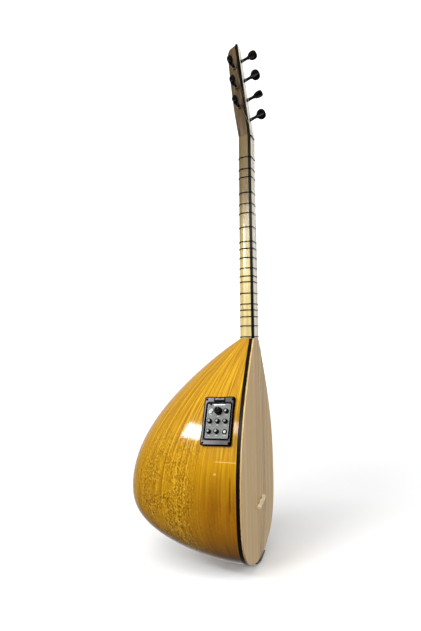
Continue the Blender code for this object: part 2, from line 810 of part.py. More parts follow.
def peg_places():
    """Each peg's frame and the length of its shaft inside the head."""
    places = []
    for number in range(FRONT_PEG_COUNT):
        z = front_peg_height(number)
        places.append((front_peg_frame(number), head_depth(z) / math.cos(FRONT_PEG_LEAN)))
    for number in range(SIDE_PEG_COUNT):
        places.append((side_peg_frame(number), 2 * head_half(front_peg_height(number + SIDE_PEG_STEP))))
    return places


def make_peg(name, matrix, inside, turn):
    """A tapered shaft, a bead and a flattened round head, lofted along the peg's axis."""
    head = PEG_SHAFT_LENGTH
    length = PEG_HEAD_LENGTH
    thick = PEG_HEAD_THICKNESS / 2
    wide = PEG_HEAD_WIDTH / 2
    bead = 1.2 * PEG_RADIUS
    stages = [
        (-inside - PEG_TIP_PROUD, 0.7 * PEG_TIP_RADIUS, 0.7 * PEG_TIP_RADIUS),
        (-inside - PEG_TIP_PROUD + 0.3 * PEG_TIP_LENGTH, PEG_TIP_RADIUS, PEG_TIP_RADIUS),
        (0.0, PEG_RADIUS, PEG_RADIUS),
        (0.86 * head, 0.9 * PEG_RADIUS, 0.9 * PEG_RADIUS),
        (0.90 * head, bead, bead),
        (0.95 * head, bead, bead),
        (head, 0.95 * PEG_RADIUS, PEG_RADIUS),
    ]
    for share, thin, broad in (
        (0.06, 0.66, 0.52),
        (0.20, 0.78, 0.82),
        (0.42, 0.88, 0.99),
        (0.64, 0.96, 0.98),
        (0.84, 1.00, 0.82),
        (0.95, 0.92, 0.56),
        (1.0, 0.55, 0.28),
    ):
        stages.append((head + share * length, thin * thick, broad * wide))
    spin = Matrix.Rotation(math.radians(turn), 3, "Z")
    rings = []
    for along, thin, broad in stages:
        ring = []
        for x, y in circle(1.0, PEG_SIDES):
            ring.append(spin @ Vector((x * thin, y * broad, 0)) + Vector((0, 0, along)))
        rings.append(ring)
    peg = loft(name, rings, PEG_BLACK)
    peg.matrix_world = matrix
    return peg


# Strings

def coil(centre_frame, start, level, radius, string_radius, prefer):
    """Turns round a peg. The string comes from start and meets the coil at its tangent point."""
    axis = centre_frame.to_3x3() @ Vector((0, 0, 1))
    centre = centre_frame @ Vector((0, 0, level))
    towards = Vector(start) - centre
    towards -= axis * towards.dot(axis)
    distance = towards.length
    first = towards.normalized()
    second = axis.cross(first)
    meet = math.acos(radius / distance)
    sense = 1 if (second * math.sin(meet)).dot(prefer) > 0 else -1
    pitch = 2 * string_radius + COIL_GAP
    points = []
    for i in range(COIL_TURNS * COIL_STEPS + 1):
        turns = i / COIL_STEPS
        angle = sense * (meet + 2 * math.pi * turns)
        spoke = first * math.cos(angle) + second * math.sin(angle)
        points.append(centre + spoke * radius - axis * pitch * turns)
    return points


def report_least_gap(name, points, string_radius):
    """Prints how close a winding comes to itself, measured between its points and later spans."""
    least = math.inf
    for i, point in enumerate(points):
        for j in range(i + COIL_STEPS // 2, len(points) - 1):
            span = points[j + 1] - points[j]
            share = max(0.0, min(1.0, (point - points[j]).dot(span) / span.length_squared))
            least = min(least, (point - points[j] - span * share).length)
    print(f"{name}: least gap of the winding to itself {1000 * (least - 2 * string_radius):.2f} mm")


def edge_bend(column, string_radius, order):
    """Where a string for a side peg bends over the head's -X front edge."""
    z = HEAD_START + (0.11 + 0.085 * order) * HEAD_LENGTH
    away = string_radius + 2 * STRING_GAP
    return Vector((-head_half(z) - away, head_face(z) - away, z))


def make_string(number, peg_frame, side_order):
    radius = STRING_RADII[number]
    away = radius + STRING_GAP
    hole = holder_hole_frame(HOLDER_COLUMNS[number])
    bridge_x = BRIDGE_COLUMNS[number]
    nut_x = NUT_COLUMNS[number]
    bridge_z = bridge_height_at(bridge_x)
    crest = -FIT - BRIDGE_HEIGHT - away
    nut_crest = -NUT_RISE - away
    points = [
        hole @ Vector((0, 0, 0.6 * HOLDER_HOLE_DEPTH)),
        hole @ Vector((0, 0, -away)),
        Vector((bridge_x, crest, bridge_z - BRIDGE_TOP_THICKNESS / 2)),
        Vector((bridge_x, crest, bridge_z + BRIDGE_TOP_THICKNESS / 2)),
        Vector((nut_x, nut_crest, NUT)),
        Vector((nut_x, nut_crest, NUT + 0.4 * NUT_THICKNESS)),
    ]
    if side_order is None:
        prefer = Vector((1, 0, 0))
    else:
        points.append(edge_bend(nut_x, radius, side_order))
        prefer = Vector((0, -1, 0))
    winding = coil(peg_frame, points[-1], COIL_RISE, PEG_RADIUS + away, radius, prefer)
    name = f"string_{number + 1}"
    report_least_gap(name, winding, radius)
    points += winding
    curve = bpy.data.curves.new(name, "CURVE")
    curve.dimensions = "3D"
    curve.bevel_depth = radius
    curve.bevel_resolution = 1
    curve.use_fill_caps = True
    spline = curve.splines.new("POLY")
    spline.points.add(len(points) - 1)
    for target, point in zip(spline.points, points):
        target.co = (*point, 1.0)
    return new_object(name, curve, STEEL)


# Preamp

def control_grid():
    """Places of the controls on the panel's 3 by 3 grid, as (column, row) to (x, y)."""
    places = {}
    for column in (-1, 0, 1):
        for row in (-1, 0, 1):
            places[column, row] = (column * CONTROL_PITCH_ACROSS, CONTROL_MIDDLE + row * CONTROL_PITCH_UP)
    return places


GRID = control_grid()
KNOBS = {
    "gain_knob": (1, 1),
    "bass_knob": (-1, 0),
    "middle_knob": (0, 0),
    "treble_knob": (1, 0),
    "presence_knob": (-1, -1),
    "blend_knob": (0, -1),
}
VOLUME_PLACE = GRID[0, 1]
MUTE_OUTLINE = rounded_rectangle(0.0056, 0.0078, 0.0024, GRID[-1, 1])
NOTCH_OUTLINE = circle(0.0031, ROUND_SIDES, GRID[1, -1])
TUNER_OUTLINE = rounded_rectangle(0.0032, 0.0032, 0.0006, (-0.0152, DISPLAY_RISE - 0.0004))
BUTTONS = {"mute_button": MUTE_OUTLINE, "notch_button": NOTCH_OUTLINE, "tuner_button": TUNER_OUTLINE}


def outgrown(outline, amount):
    """A convex outline with its points pushed away from its middle."""
    middle = Vector((sum(p[0] for p in outline), sum(p[1] for p in outline))) / len(outline)
    grown = []
    for point in outline:
        away = Vector(point) - middle
        grown.append(tuple(middle + away * (1 + 1.25 * amount / away.length)))
    return grown


def make_preamp_frame():
    outer = rounded_rectangle(FRAME_WIDTH, FRAME_HEIGHT, FRAME_CORNER)
    frame = prism("preamp_frame", outer, -FRAME_SKIRT, FRAME_PROUD, DARK_PLASTIC, PREAMP, chamfer=0.0009)
    opening = rounded_rectangle(PANEL_WIDTH + 2 * PANEL_GAP, PANEL_HEIGHT + 2 * PANEL_GAP, PANEL_CORNER + PANEL_GAP)
    cut(frame, prism("frame_opening_cutter", opening, -3 * FRAME_SKIRT, FRAME_SKIRT, None, PREAMP, CUTTERS))
    low = (-LATCH_WIDTH / 2 - LATCH_GAP, PANEL_HEIGHT / 2, FRAME_PROUD - LATCH_POCKET)
    high = (LATCH_WIDTH / 2 + LATCH_GAP, FRAME_HEIGHT, FRAME_SKIRT)
    cut(frame, box("latch_pocket_cutter", low, high, None, PREAMP, CUTTERS))
    pins = hinge_rod("pin_holes_cutter", PIN_RADIUS + PIN_CLEARANCE, 2 * PANEL_GAP + PIN_REACH, None, CUTTERS)
    cut(frame, pins)
    cut(frame, bowl_skin("frame_seat_cutter", FIT, None, CUTTERS))
    return frame


def hinge_rod(name, radius, reach, look, group):
    """A rod along the panel's lower edge that stands out of both its ends by this much."""
    half = PANEL_WIDTH / 2 + reach
    axes = PREAMP.to_3x3()
    start = PREAMP @ Vector((-half, HINGE_UP, HINGE_OUT))
    matrix = frame_at(start, axes @ Vector((0, 1, 0)), axes @ Vector((0, 0, 1)), axes @ Vector((1, 0, 0)))
    return prism(name, circle(radius, PEG_SIDES), 0.0, 2 * half, look, matrix, group)


def make_control_panel():
    plate = rounded_rectangle(PANEL_WIDTH, PANEL_HEIGHT, PANEL_CORNER)
    panel = prism("control_panel", plate, PANEL_BACK, PANEL_FACE, GREY_PLASTIC, PREAMP, chamfer=0.0005)
    foot = -PANEL_HEIGHT / 2 + HOUSING_FOOT
    low = (-HOUSING_WIDTH / 2, foot, -HOUSING_DEPTH)
    high = (HOUSING_WIDTH / 2, foot + HOUSING_HEIGHT, PANEL_BACK + PANEL_PLATE / 3)
    cut(panel, box("housing_block", low, high, None, PREAMP, CUTTERS), "UNION")
    cut(panel, hinge_rod("hinge_pins", PIN_RADIUS, PANEL_GAP + PIN_REACH, None, CUTTERS), "UNION")
    holes = [battery_block("hole", None, CUTTERS, FIT, CUT_MARGIN)]
    floor = PANEL_FACE - SHAFT_LENGTH - 2 * FIT
    for place in [VOLUME_PLACE] + [GRID[key] for key in KNOBS.values()]:
        outline = circle(SHAFT_RADIUS + SHAFT_CLEARANCE, PEG_SIDES, place)
        holes.append(prism("hole", outline, floor, FRAME_SKIRT, None, PREAMP, CUTTERS))
    floor = PANEL_FACE - BUTTON_STEM - BUTTON_TRAVEL - FIT
    for outline in BUTTONS.values():
        holes.append(prism("hole", outgrown(outline, BUTTON_CLEARANCE), floor, FRAME_SKIRT, None, PREAMP, CUTTERS))
    recess = rounded_rectangle(DISPLAY_WIDTH + 2 * FIT, DISPLAY_HEIGHT + 2 * FIT, 0.0007, (0, DISPLAY_RISE))
    floor = PANEL_FACE - DISPLAY_THICKNESS - 2 * FIT
    holes.append(prism("hole", recess, floor, FRAME_SKIRT, None, PREAMP, CUTTERS))
    cut(panel, joined("panel_holes_cutter", holes))
    put_origin(panel, PREAMP @ Vector((0, HINGE_UP, HINGE_OUT)))
    return panel


def battery_block(name, look, group, grow, overrun):
    """The battery's own size, or its pocket, at the back of the housing."""
    width, height, depth = BATTERY_SIZE
    middle = -PANEL_HEIGHT / 2 + HOUSING_FOOT + HOUSING_HEIGHT / 2
    back = -HOUSING_DEPTH + FIT
    low = (-width / 2 - grow, middle - height / 2 - grow, back - overrun)
    high = (width / 2 + grow, middle + height / 2 + grow, back + depth + grow)
    return box(name, low, high, look, PREAMP, group)


def make_knob(name, place, radius, height):
    profile = [
        (0.0, height),
        (0.80 * radius, height),
        (0.90 * radius, 0.93 * height),
        (0.96 * radius, 0.30 * height),
        (radius, 0.16 * height),
        (radius, 0.0),
        (SHAFT_RADIUS, 0.0),
        (SHAFT_RADIUS, -SHAFT_LENGTH - FIT),
        (0.0, -SHAFT_LENGTH - FIT),
    ]
    return turned(name, profile, BLACK_PLASTIC, on_preamp(place[0], place[1], PANEL_FACE + FIT), ROUND_SIDES)


def make_button(name, outline, look):
    low = PANEL_FACE - BUTTON_STEM
    return prism(name, outline, low, PANEL_FACE + BUTTON_PROUD, look, PREAMP)


def make_display():
    outline = rounded_rectangle(DISPLAY_WIDTH, DISPLAY_HEIGHT, 0.0005, (0, DISPLAY_RISE))
    low = PANEL_FACE - DISPLAY_THICKNESS - FIT
    return prism("display_window", outline, low, low + DISPLAY_THICKNESS, WHITE_PLASTIC, PREAMP)


def make_latch():
    """A thumb tab in its pocket at the top of the frame, with a ridge to push it by."""
    foot = PANEL_HEIGHT / 2 + LATCH_GAP
    end = FRAME_HEIGHT / 2 - FIT
    floor = FRAME_PROUD - LATCH_POCKET + FIT
    top = floor + LATCH_THICKNESS
    ridge = top + 0.0008
    side = [
        (foot, floor),
        (end, floor),
        (end, top),
        (mix(foot, end, 0.86), ridge),
        (mix(foot, end, 0.68), ridge),
        (mix(foot, end, 0.56), top),
        (mix(foot, end, 0.06), top),
        (foot, top - 0.0005),
    ]
    axes = PREAMP.to_3x3()
    start = PREAMP @ Vector((-LATCH_WIDTH / 2, 0, 0))
    matrix = frame_at(start, axes @ Vector((0, 1, 0)), axes @ Vector((0, 0, 1)), axes @ Vector((1, 0, 0)))
    return prism("door_latch", side, 0.0, LATCH_WIDTH, BLACK_PLASTIC, matrix)


def make_jack():
    """An end-pin socket: flange outside the wall, nut inside it, and a blind bore for the plug."""
    barrel = JACK_BARREL_RADIUS
    bore = JACK_BORE_RADIUS
    flange = JACK_FLANGE_RADIUS
    inside = BOWL_WALL + 2 * FIT
    profile = [
        (0.0, JACK_LENGTH),
        (0.75 * barrel, JACK_LENGTH),
        (0.75 * barrel, 0.72 * JACK_LENGTH),
        (barrel, 0.72 * JACK_LENGTH),
        (barrel, inside + 0.0022),
        (0.85 * flange, inside + 0.0022),
        (0.85 * flange, inside),
        (barrel, inside),
        (barrel, -FIT),
        (flange, -FIT),
        (flange, -0.0014),
        (0.85 * flange, -0.0022),
        (bore + 0.0006, -0.0022),
        (bore, -0.0016),
        (bore, 0.88 * JACK_LENGTH),
        (0.0, 0.88 * JACK_LENGTH),
    ]
    return turned("output_jack", profile, STEEL, JACK, ROUND_SIDES)


def parent_keeping_place(child, parent):
    child.parent = parent
    child.matrix_parent_inverse = parent.matrix_world.inverted()


def make_baglama():
    bowl = make_bowl()
    pieces = [make_soundboard(), make_rim_band(), make_string_holder(), make_bridge()]
    pieces += [make_neck(), make_headstock(), make_fingerboard(), make_nut()]
    pieces += [make_binding("binding_bass", -1), make_binding("binding_treble", 1)]
    for number, cents in enumerate(FRET_CENTS, 1):
        pieces.append(make_fret(number, cents))
    places = peg_places()
    turns = FRONT_PEG_TURNS + SIDE_PEG_TURNS
    names = [f"front_peg_{i + 1}" for i in range(FRONT_PEG_COUNT)]
    names += [f"side_peg_{i + 1}" for i in range(SIDE_PEG_COUNT)]
    for name, (matrix, inside), turn in zip(names, places, turns):
        pieces.append(make_peg(name, matrix, inside, turn))
    frames = [matrix for matrix, _ in places]
    for number in range(len(STRING_RADII)):
        if number < SIDE_PEG_COUNT:
            pieces.append(make_string(number, frames[FRONT_PEG_COUNT + number], number))
        else:
            pieces.append(make_string(number, frames[number - SIDE_PEG_COUNT], None))
    pieces += [make_preamp_frame(), make_latch(), make_jack()]
    panel = make_control_panel()
    carried = [make_display(), battery_block("battery", BATTERY_SKIN, PARTS, 0.0, 0.0)]
    carried.append(make_knob("volume_knob", VOLUME_PLACE, VOLUME_RADIUS, VOLUME_HEIGHT))
    for name, key in KNOBS.items():
        carried.append(make_knob(name, GRID[key], KNOB_RADIUS, KNOB_HEIGHT))
    for name, outline in BUTTONS.items():
        look = BLACK_PLASTIC if name == "tuner_button" else WHITE_PLASTIC
        carried.append(make_button(name, outline, look))
    bpy.context.view_layer.update()
    for piece in pieces + [panel]:
        parent_keeping_place(piece, bowl)
    for piece in carried:
        parent_keeping_place(piece, panel)


make_baglama()
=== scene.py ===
"""The looks of the short-neck baglama: fine surfaces, frets, strings, finishes, camera and studio.

Everything is in metres in the instrument's own frame: +Z runs up the neck, the soundboard
faces -Y, the preamp is on the -X side, and Z = 0 is the floor under the tail.
"""

import json
import math

import bmesh
import bpy
import numpy as np
from mathutils import Matrix, Vector

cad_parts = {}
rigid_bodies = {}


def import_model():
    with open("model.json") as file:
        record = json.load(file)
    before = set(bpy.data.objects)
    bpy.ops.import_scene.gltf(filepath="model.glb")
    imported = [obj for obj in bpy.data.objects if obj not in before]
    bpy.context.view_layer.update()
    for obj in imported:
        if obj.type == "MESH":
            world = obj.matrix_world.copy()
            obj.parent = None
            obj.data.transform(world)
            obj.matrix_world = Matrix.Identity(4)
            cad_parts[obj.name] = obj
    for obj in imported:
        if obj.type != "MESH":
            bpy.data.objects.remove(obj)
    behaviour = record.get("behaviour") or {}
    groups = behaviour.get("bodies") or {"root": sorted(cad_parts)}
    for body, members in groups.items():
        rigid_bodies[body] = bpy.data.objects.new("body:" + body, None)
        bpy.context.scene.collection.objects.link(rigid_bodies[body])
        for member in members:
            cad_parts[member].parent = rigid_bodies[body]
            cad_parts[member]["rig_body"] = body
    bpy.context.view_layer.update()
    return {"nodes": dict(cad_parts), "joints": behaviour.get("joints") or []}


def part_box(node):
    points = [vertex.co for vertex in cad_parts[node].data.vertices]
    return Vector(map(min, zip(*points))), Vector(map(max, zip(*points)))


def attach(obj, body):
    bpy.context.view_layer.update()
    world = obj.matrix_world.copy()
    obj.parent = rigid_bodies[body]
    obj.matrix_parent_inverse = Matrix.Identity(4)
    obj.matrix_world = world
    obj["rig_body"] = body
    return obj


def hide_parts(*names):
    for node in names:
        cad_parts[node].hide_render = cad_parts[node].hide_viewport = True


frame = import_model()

# Sizes of the solids that the fine surfaces follow
FIT = 0.0003
SCALE_LENGTH = 0.670
BODY_WIDTH = 0.2644
BODY_DEPTH = 0.2433
WIDEST_RISE = 0.1240
DEEPEST_RISE = 0.1301
BOWL_ROUNDNESS = 2.18
BOWL_WALL = 0.0045
TAIL_BLOCK = 0.015
NECK_BLOCK = 0.050
SOUND_HOLE_RADIUS = 0.008
SOUND_HOLE_BACK = 0.031
SOUNDBOARD_THICKNESS = 0.0028
RIM_BAND_HEIGHT = 0.0060
RIM_BAND_THICKNESS = 0.0020
HOLDER_WALL = 0.0020
HOLDER_PROUD = 0.0012
HOLDER_BACK = 0.0098
HOLDER_RISE = 0.0050
HOLDER_BOW = 0.0003
HOLDER_HOLE_RADIUS = 0.0009
HOLDER_HOLE_DEPTH = 0.0024
HOLDER_HOLE_RISE = 0.0027
HOLDER_PITCH = 0.0040
BRIDGE_LENGTH = 0.047
BRIDGE_HEIGHT = 0.0072
BRIDGE_SETBACK = 0.0075
BRIDGE_SLANT = math.radians(12)
BRIDGE_THICKNESS = 0.0042
BRIDGE_TOP_THICKNESS = 0.0022
BRIDGE_FOOT = 0.0090
BRIDGE_ARCH_HEIGHT = 0.0014
NECK_WIDTH_BODY = 0.0342
NECK_WIDTH_NUT = 0.0290
NECK_DEPTH_BODY = 0.0302
NECK_DEPTH_NUT = 0.0256
FINGERBOARD_THICKNESS = 0.0050
BINDING_THICKNESS = 0.0016
NUT_RISE = 0.0020
NUT_THICKNESS = 0.0036
HEAD_TILT = math.radians(7.2)
HEAD_TOP_WIDTH = 0.0235
HEAD_BELLY_DEPTH = 0.0260
HEAD_TOP_DEPTH = 0.0216
HEAD_BOXINESS = 5.0
PEG_RADIUS = 0.0030
PEG_TIP_RADIUS = 0.0025
PEG_HOLE_CLEARANCE = 0.0006
PEG_TIP_LENGTH = 0.0030
PEG_TIP_PROUD = 0.0004
PEG_SHAFT_LENGTH = 0.0152
PEG_HEAD_LENGTH = 0.0172
PEG_HEAD_WIDTH = 0.0212
PEG_HEAD_THICKNESS = 0.0112
FRONT_PEG_LEAN = math.radians(14)
FRONT_PEG_TURNS = (0, 88, 8, -12)
SIDE_PEG_TURNS = (12, 4, 8)
STRING_RADII = (0.00018, 0.00011, 0.00018, 0.00011, 0.00018, 0.00011, 0.00011)
COURSES = (2, 2, 3)
COURSE_PITCH_NUT = 0.0086
PAIR_PITCH_NUT = 0.0020
COURSE_PITCH_BRIDGE = 0.0150
PAIR_PITCH_BRIDGE = 0.0028
STRING_GAP = 0.0003
COIL_TURNS = 4
COIL_GAP = 0.00045
COIL_RISE = 0.0052
FRAME_WIDTH = 0.0555
FRAME_HEIGHT = 0.0850
FRAME_PROUD = 0.0024
FRAME_CORNER = 0.0040
FRAME_SKIRT = 0.0095
PANEL_WIDTH = 0.0480
PANEL_HEIGHT = 0.0660
PANEL_CORNER = 0.0050
PANEL_PLATE = 0.0030
PANEL_SINK = 0.0006
PANEL_GAP = 0.0008
PIN_RADIUS = 0.0010
PIN_REACH = 0.0008
PIN_CLEARANCE = 0.0005
HOUSING_WIDTH = 0.0430
HOUSING_HEIGHT = 0.0550
HOUSING_DEPTH = 0.0300
HOUSING_FOOT = 0.0030
BATTERY_SIZE = (0.0265, 0.0485, 0.0175)
CONTROL_PITCH_ACROSS = 0.0143
CONTROL_PITCH_UP = 0.0178
CONTROL_MIDDLE = -0.0008
VOLUME_RADIUS = 0.0068
VOLUME_HEIGHT = 0.0080
KNOB_RADIUS = 0.0042
KNOB_HEIGHT = 0.0060
SHAFT_RADIUS = 0.0015
SHAFT_LENGTH = 0.0020
SHAFT_CLEARANCE = 0.0005
BUTTON_PROUD = 0.0014
BUTTON_TRAVEL = 0.0010
BUTTON_STEM = 0.0024
BUTTON_CLEARANCE = 0.0003
DISPLAY_WIDTH = 0.0214
DISPLAY_HEIGHT = 0.0042
DISPLAY_THICKNESS = 0.0009
DISPLAY_RISE = 0.0297
DISPLAY_PLACE = (0.0, DISPLAY_RISE)
LATCH_WIDTH = 0.0206
LATCH_THICKNESS = 0.0017
LATCH_POCKET = 0.0018
LATCH_GAP = 0.0004
JACK_BACK = 0.066
JACK_BARREL_RADIUS = 0.0056
JACK_BORE_RADIUS = 0.0036
JACK_FLANGE_RADIUS = 0.0090
JACK_LENGTH = 0.024

# Fineness of the surfaces
BODY_STEPS = 84
BOWL_SEGMENTS = 88
CAVITY_STEPS = 24
NECK_SEGMENTS = 40
HEAD_STEPS = 48
PEG_SIDES = 28
ROUND_SIDES = 40
CORNER_STEPS = 8
CURVE_SAMPLES = 240
WIRE_SIDES = 8
PATH_START = 0.0005
CUT_MARGIN = 0.001

# Heights that the frame gives
BODY_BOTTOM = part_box("bowl")[0].z
BODY_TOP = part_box("bowl")[1].z
BODY_LENGTH = BODY_TOP - BODY_BOTTOM
HEAD_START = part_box("headstock")[0].z
HEAD_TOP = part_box("headstock")[1].z
HEAD_LENGTH = HEAD_TOP - HEAD_START
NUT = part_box("nut")[0].z
RIM = SOUNDBOARD_THICKNESS + FIT
BRIDGE = NUT - SCALE_LENGTH - BRIDGE_SETBACK
NECK_FACE = FINGERBOARD_THICKNESS + FIT
PANEL_FACE = FRAME_PROUD - PANEL_SINK
PANEL_BACK = PANEL_FACE - PANEL_PLATE
HINGE_UP = -PANEL_HEIGHT / 2 + PANEL_PLATE / 2
HINGE_OUT = PANEL_FACE - PANEL_PLATE / 2

NODES = frame["nodes"]
JOINTS = {joint["name"]: joint for joint in frame["joints"]}


def joint_point(name):
    return Vector(JOINTS[name]["pos_m"])


def joint_axis(name):
    return Vector(JOINTS[name]["axis"]).normalized()


def frame_at(origin, x_axis, y_axis, z_axis):
    made = Matrix((x_axis, y_axis, z_axis)).transposed().to_4x4()
    made.translation = origin
    return made


def mix(start, end, share):
    return start + (end - start) * share


# Camera, at the photograph's viewing angle

CAMERA_AZIMUTH = math.radians(-77.041)
CAMERA_DISTANCE = 1.05698
CAMERA_HEIGHT = 0.42805
CAMERA_PAN = math.radians(4.587)
CAMERA_PITCH = math.radians(1.461)
CAMERA_ROLL = math.radians(-1.08)
FOCAL_PIXELS = 564.58
PICTURE_HEIGHT = 631
SENSOR = 36.0


def make_camera():
    place = Vector((math.sin(CAMERA_AZIMUTH), -math.cos(CAMERA_AZIMUTH), 0)) * CAMERA_DISTANCE
    place.z = CAMERA_HEIGHT
    heading = CAMERA_AZIMUTH + CAMERA_PAN
    level = math.cos(CAMERA_PITCH)
    ahead = Vector((-math.sin(heading) * level, math.cos(heading) * level, math.sin(CAMERA_PITCH)))
    right = ahead.cross(Vector((0, 0, 1))).normalized()
    up = right.cross(ahead)
    turn = Matrix.Rotation(-CAMERA_ROLL, 3, ahead)
    right = turn @ right
    up = turn @ up
    lens = bpy.data.cameras.new("camera")
    lens.sensor_fit = "AUTO"
    lens.sensor_width = SENSOR
    lens.lens = FOCAL_PIXELS / PICTURE_HEIGHT * SENSOR
    lens.clip_start = 0.01
    camera = bpy.data.objects.new("camera", lens)
    camera.matrix_world = frame_at(place, right, up, -ahead)
    bpy.context.scene.collection.objects.link(camera)
    bpy.context.scene.camera = camera


make_camera()


# Mesh helpers


def from_bmesh(name, shape):
    bmesh.ops.recalc_face_normals(shape, faces=shape.faces)
    mesh = bpy.data.meshes.new(name)
    shape.to_mesh(mesh)
    shape.free()
    made = bpy.data.objects.new(name, mesh)
    bpy.context.scene.collection.objects.link(made)
    return made


def loft(name, rings):
    """A skin over rings of points, with its ends capped. A ring of one point is a pole."""
    shape = bmesh.new()
    rows = [[shape.verts.new(point) for point in ring] for ring in rings]
    for low, high in zip(rows, rows[1:]):
        count = max(len(low), len(high))
        for i in range(count):
            after = (i + 1) % count
            if len(low) == 1:
                shape.faces.new((low[0], high[after], high[i]))
            elif len(high) == 1:
                shape.faces.new((low[i], low[after], high[0]))
            else:
                shape.faces.new((low[i], low[after], high[after], high[i]))
    for row in (rows[0], rows[-1]):
        if len(row) > 2:
            shape.faces.new(row)
    return from_bmesh(name, shape)


def prism(name, outline, low, high, matrix=Matrix()):
    """An outline in the matrix's XY plane, drawn along its Z."""
    rings = [[matrix @ Vector((u, v, level)) for u, v in outline] for level in (low, high)]
    return loft(name, rings)


def box(name, low, high, matrix=Matrix()):
    outline = [(low[0], low[1]), (high[0], low[1]), (high[0], high[1]), (low[0], high[1])]
    return prism(name, outline, low[2], high[2], matrix)


def ring_angles(sides):
    return [2 * math.pi * i / sides for i in range(sides)]


def circle(radius, sides=ROUND_SIDES, centre=(0.0, 0.0)):
    return [(centre[0] + radius * math.cos(a), centre[1] + radius * math.sin(a)) for a in ring_angles(sides)]


def rounded_rectangle(width, height, corner, centre=(0.0, 0.0)):
    points = []
    for quarter, (side, end) in enumerate(((1, 1), (-1, 1), (-1, -1), (1, -1))):
        for step in range(CORNER_STEPS + 1):
            angle = math.pi / 2 * (quarter + step / CORNER_STEPS)
            x = centre[0] + side * (width / 2 - corner) + corner * math.cos(angle)
            y = centre[1] + end * (height / 2 - corner) + corner * math.sin(angle)
            points.append((x, y))
    return points


def turned(name, profile, matrix, sides=ROUND_SIDES, flutes=0, flute_depth=0.0, fluted=()):
    """A profile of (radius, height) points turned about the matrix's Z, with flutes on the named rings."""
    rings = []
    for number, (radius, height) in enumerate(profile):
        if radius == 0:
            rings.append([matrix @ Vector((0, 0, height))])
            continue
        ring = []
        for angle in ring_angles(sides):
            reach = radius
            if number in fluted:
                reach -= flute_depth * (0.5 - 0.5 * math.cos(flutes * angle))
            ring.append(matrix @ Vector((reach * math.cos(angle), reach * math.sin(angle), height)))
        rings.append(ring)
    return loft(name, rings)


def wire(name, path, radius):
    """A round wire along a path, its rings carried without twist."""
    points = [Vector(point) for point in path]
    last = len(points) - 1
    runs = [(points[min(i + 1, last)] - points[max(i - 1, 0)]).normalized() for i in range(last + 1)]
    side = runs[0].orthogonal().normalized()
    rings = []
    for point, run in zip(points, runs):
        side = (side - run * side.dot(run)).normalized()
        other = run.cross(side)
        ring = [point + (side * math.cos(a) + other * math.sin(a)) * radius for a in ring_angles(WIRE_SIDES)]
        rings.append(ring)
    return loft(name, rings)


def carve(item, cutters, operation="DIFFERENCE"):
    """Applies Booleans to the item and removes the cutters."""
    for cutter in cutters:
        step = item.modifiers.new("cut", "BOOLEAN")
        step.operation = operation
        step.object = cutter
    bpy.context.view_layer.update()
    graph = bpy.context.evaluated_depsgraph_get()
    made = bpy.data.meshes.new_from_object(item.evaluated_get(graph))
    item.modifiers.clear()
    item.data = made
    for cutter in cutters:
        bpy.data.objects.remove(cutter)
    return item


def joined(name, pieces):
    """One mesh object from several that don't touch."""
    shape = bmesh.new()
    for piece in pieces:
        shape.from_mesh(piece.data)
        bpy.data.objects.remove(piece)
    return from_bmesh(name, shape)


def soften(item, width, segments=3):
    """Rounds the edges of a piece and keeps its flats flat."""
    weld = item.modifiers.new("weld", "WELD")
    weld.merge_threshold = 0.00001
    bevel = item.modifiers.new("round_edges", "BEVEL")
    bevel.width = width
    bevel.segments = segments
    bevel.limit_method = "ANGLE"
    bevel.angle_limit = math.radians(32)
    bevel.harden_normals = True
    bevel.use_clamp_overlap = True
    return item


def dress(item, look, slot, *nodes, body=None, sharp=35):
    """Gives a piece its finish and its body, and hides the solids that it stands for."""
    item.data.materials.clear()
    item.data.materials.append(look)
    item.data.shade_smooth()
    item.data.set_sharp_from_angle(angle=math.radians(sharp))
    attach(item, body or NODES[nodes[0]]["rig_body"])
    if nodes:
        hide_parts(*nodes)
    return item


# Outline and keel of the bowl

def bezier(points, count):
    t = np.linspace(0, 1, count)[:, None]
    a, b, c, d = (np.array(point, float) for point in points)
    return a * (1 - t) ** 3 + 3 * b * t * (1 - t) ** 2 + 3 * c * t * t * (1 - t) + d * t**3


def teardrop(peak, peak_rise, tail_out, tail_up, tail_pull, shoulder_pull, end, end_pull, end_slope):
    """Half of a teardrop as (distance from the middle, rise): tail, fullest point, then a shoulder."""
    above = BODY_LENGTH - peak_rise
    low = (tail_out * peak, tail_up * peak_rise)
    tail = ((0, 0), low, (peak, tail_pull * peak_rise), (peak, peak_rise))
    drop = end_pull * above
    high = (end + drop * end_slope, BODY_LENGTH - drop)
    shoulder = ((peak, peak_rise), (peak, peak_rise + shoulder_pull * above), high, (end, BODY_LENGTH))
    return np.vstack([bezier(tail, CURVE_SAMPLES), bezier(shoulder, CURVE_SAMPLES)[1:]])


BODY_NECK_HALF = NECK_WIDTH_BODY / 2 + FIT
BODY_NECK_DEPTH = NECK_DEPTH_BODY - RIM
OUTLINE = teardrop(BODY_WIDTH / 2, WIDEST_RISE, 0.664, 0.142, 0.234, 0.232, BODY_NECK_HALF, 0.518, 0.772)
KEEL = teardrop(BODY_DEPTH, DEEPEST_RISE, 0.860, 0.309, 0.599, 0.487, BODY_NECK_DEPTH, 0.054, 1.69)
KEEL_RUN = np.concatenate([[0.0], np.cumsum(np.linalg.norm(np.diff(KEEL, axis=0), axis=1))])


def inset(table, amount):
    """The curve moved inwards along its normals."""
    steps = np.gradient(table, axis=0)
    steps /= np.linalg.norm(steps, axis=1)[:, None]
    inwards = np.stack([-steps[:, 1], steps[:, 0]], axis=1)
    return table + inwards * amount


def across(table, rise):
    return float(np.interp(rise, table[:, 1], table[:, 0]))


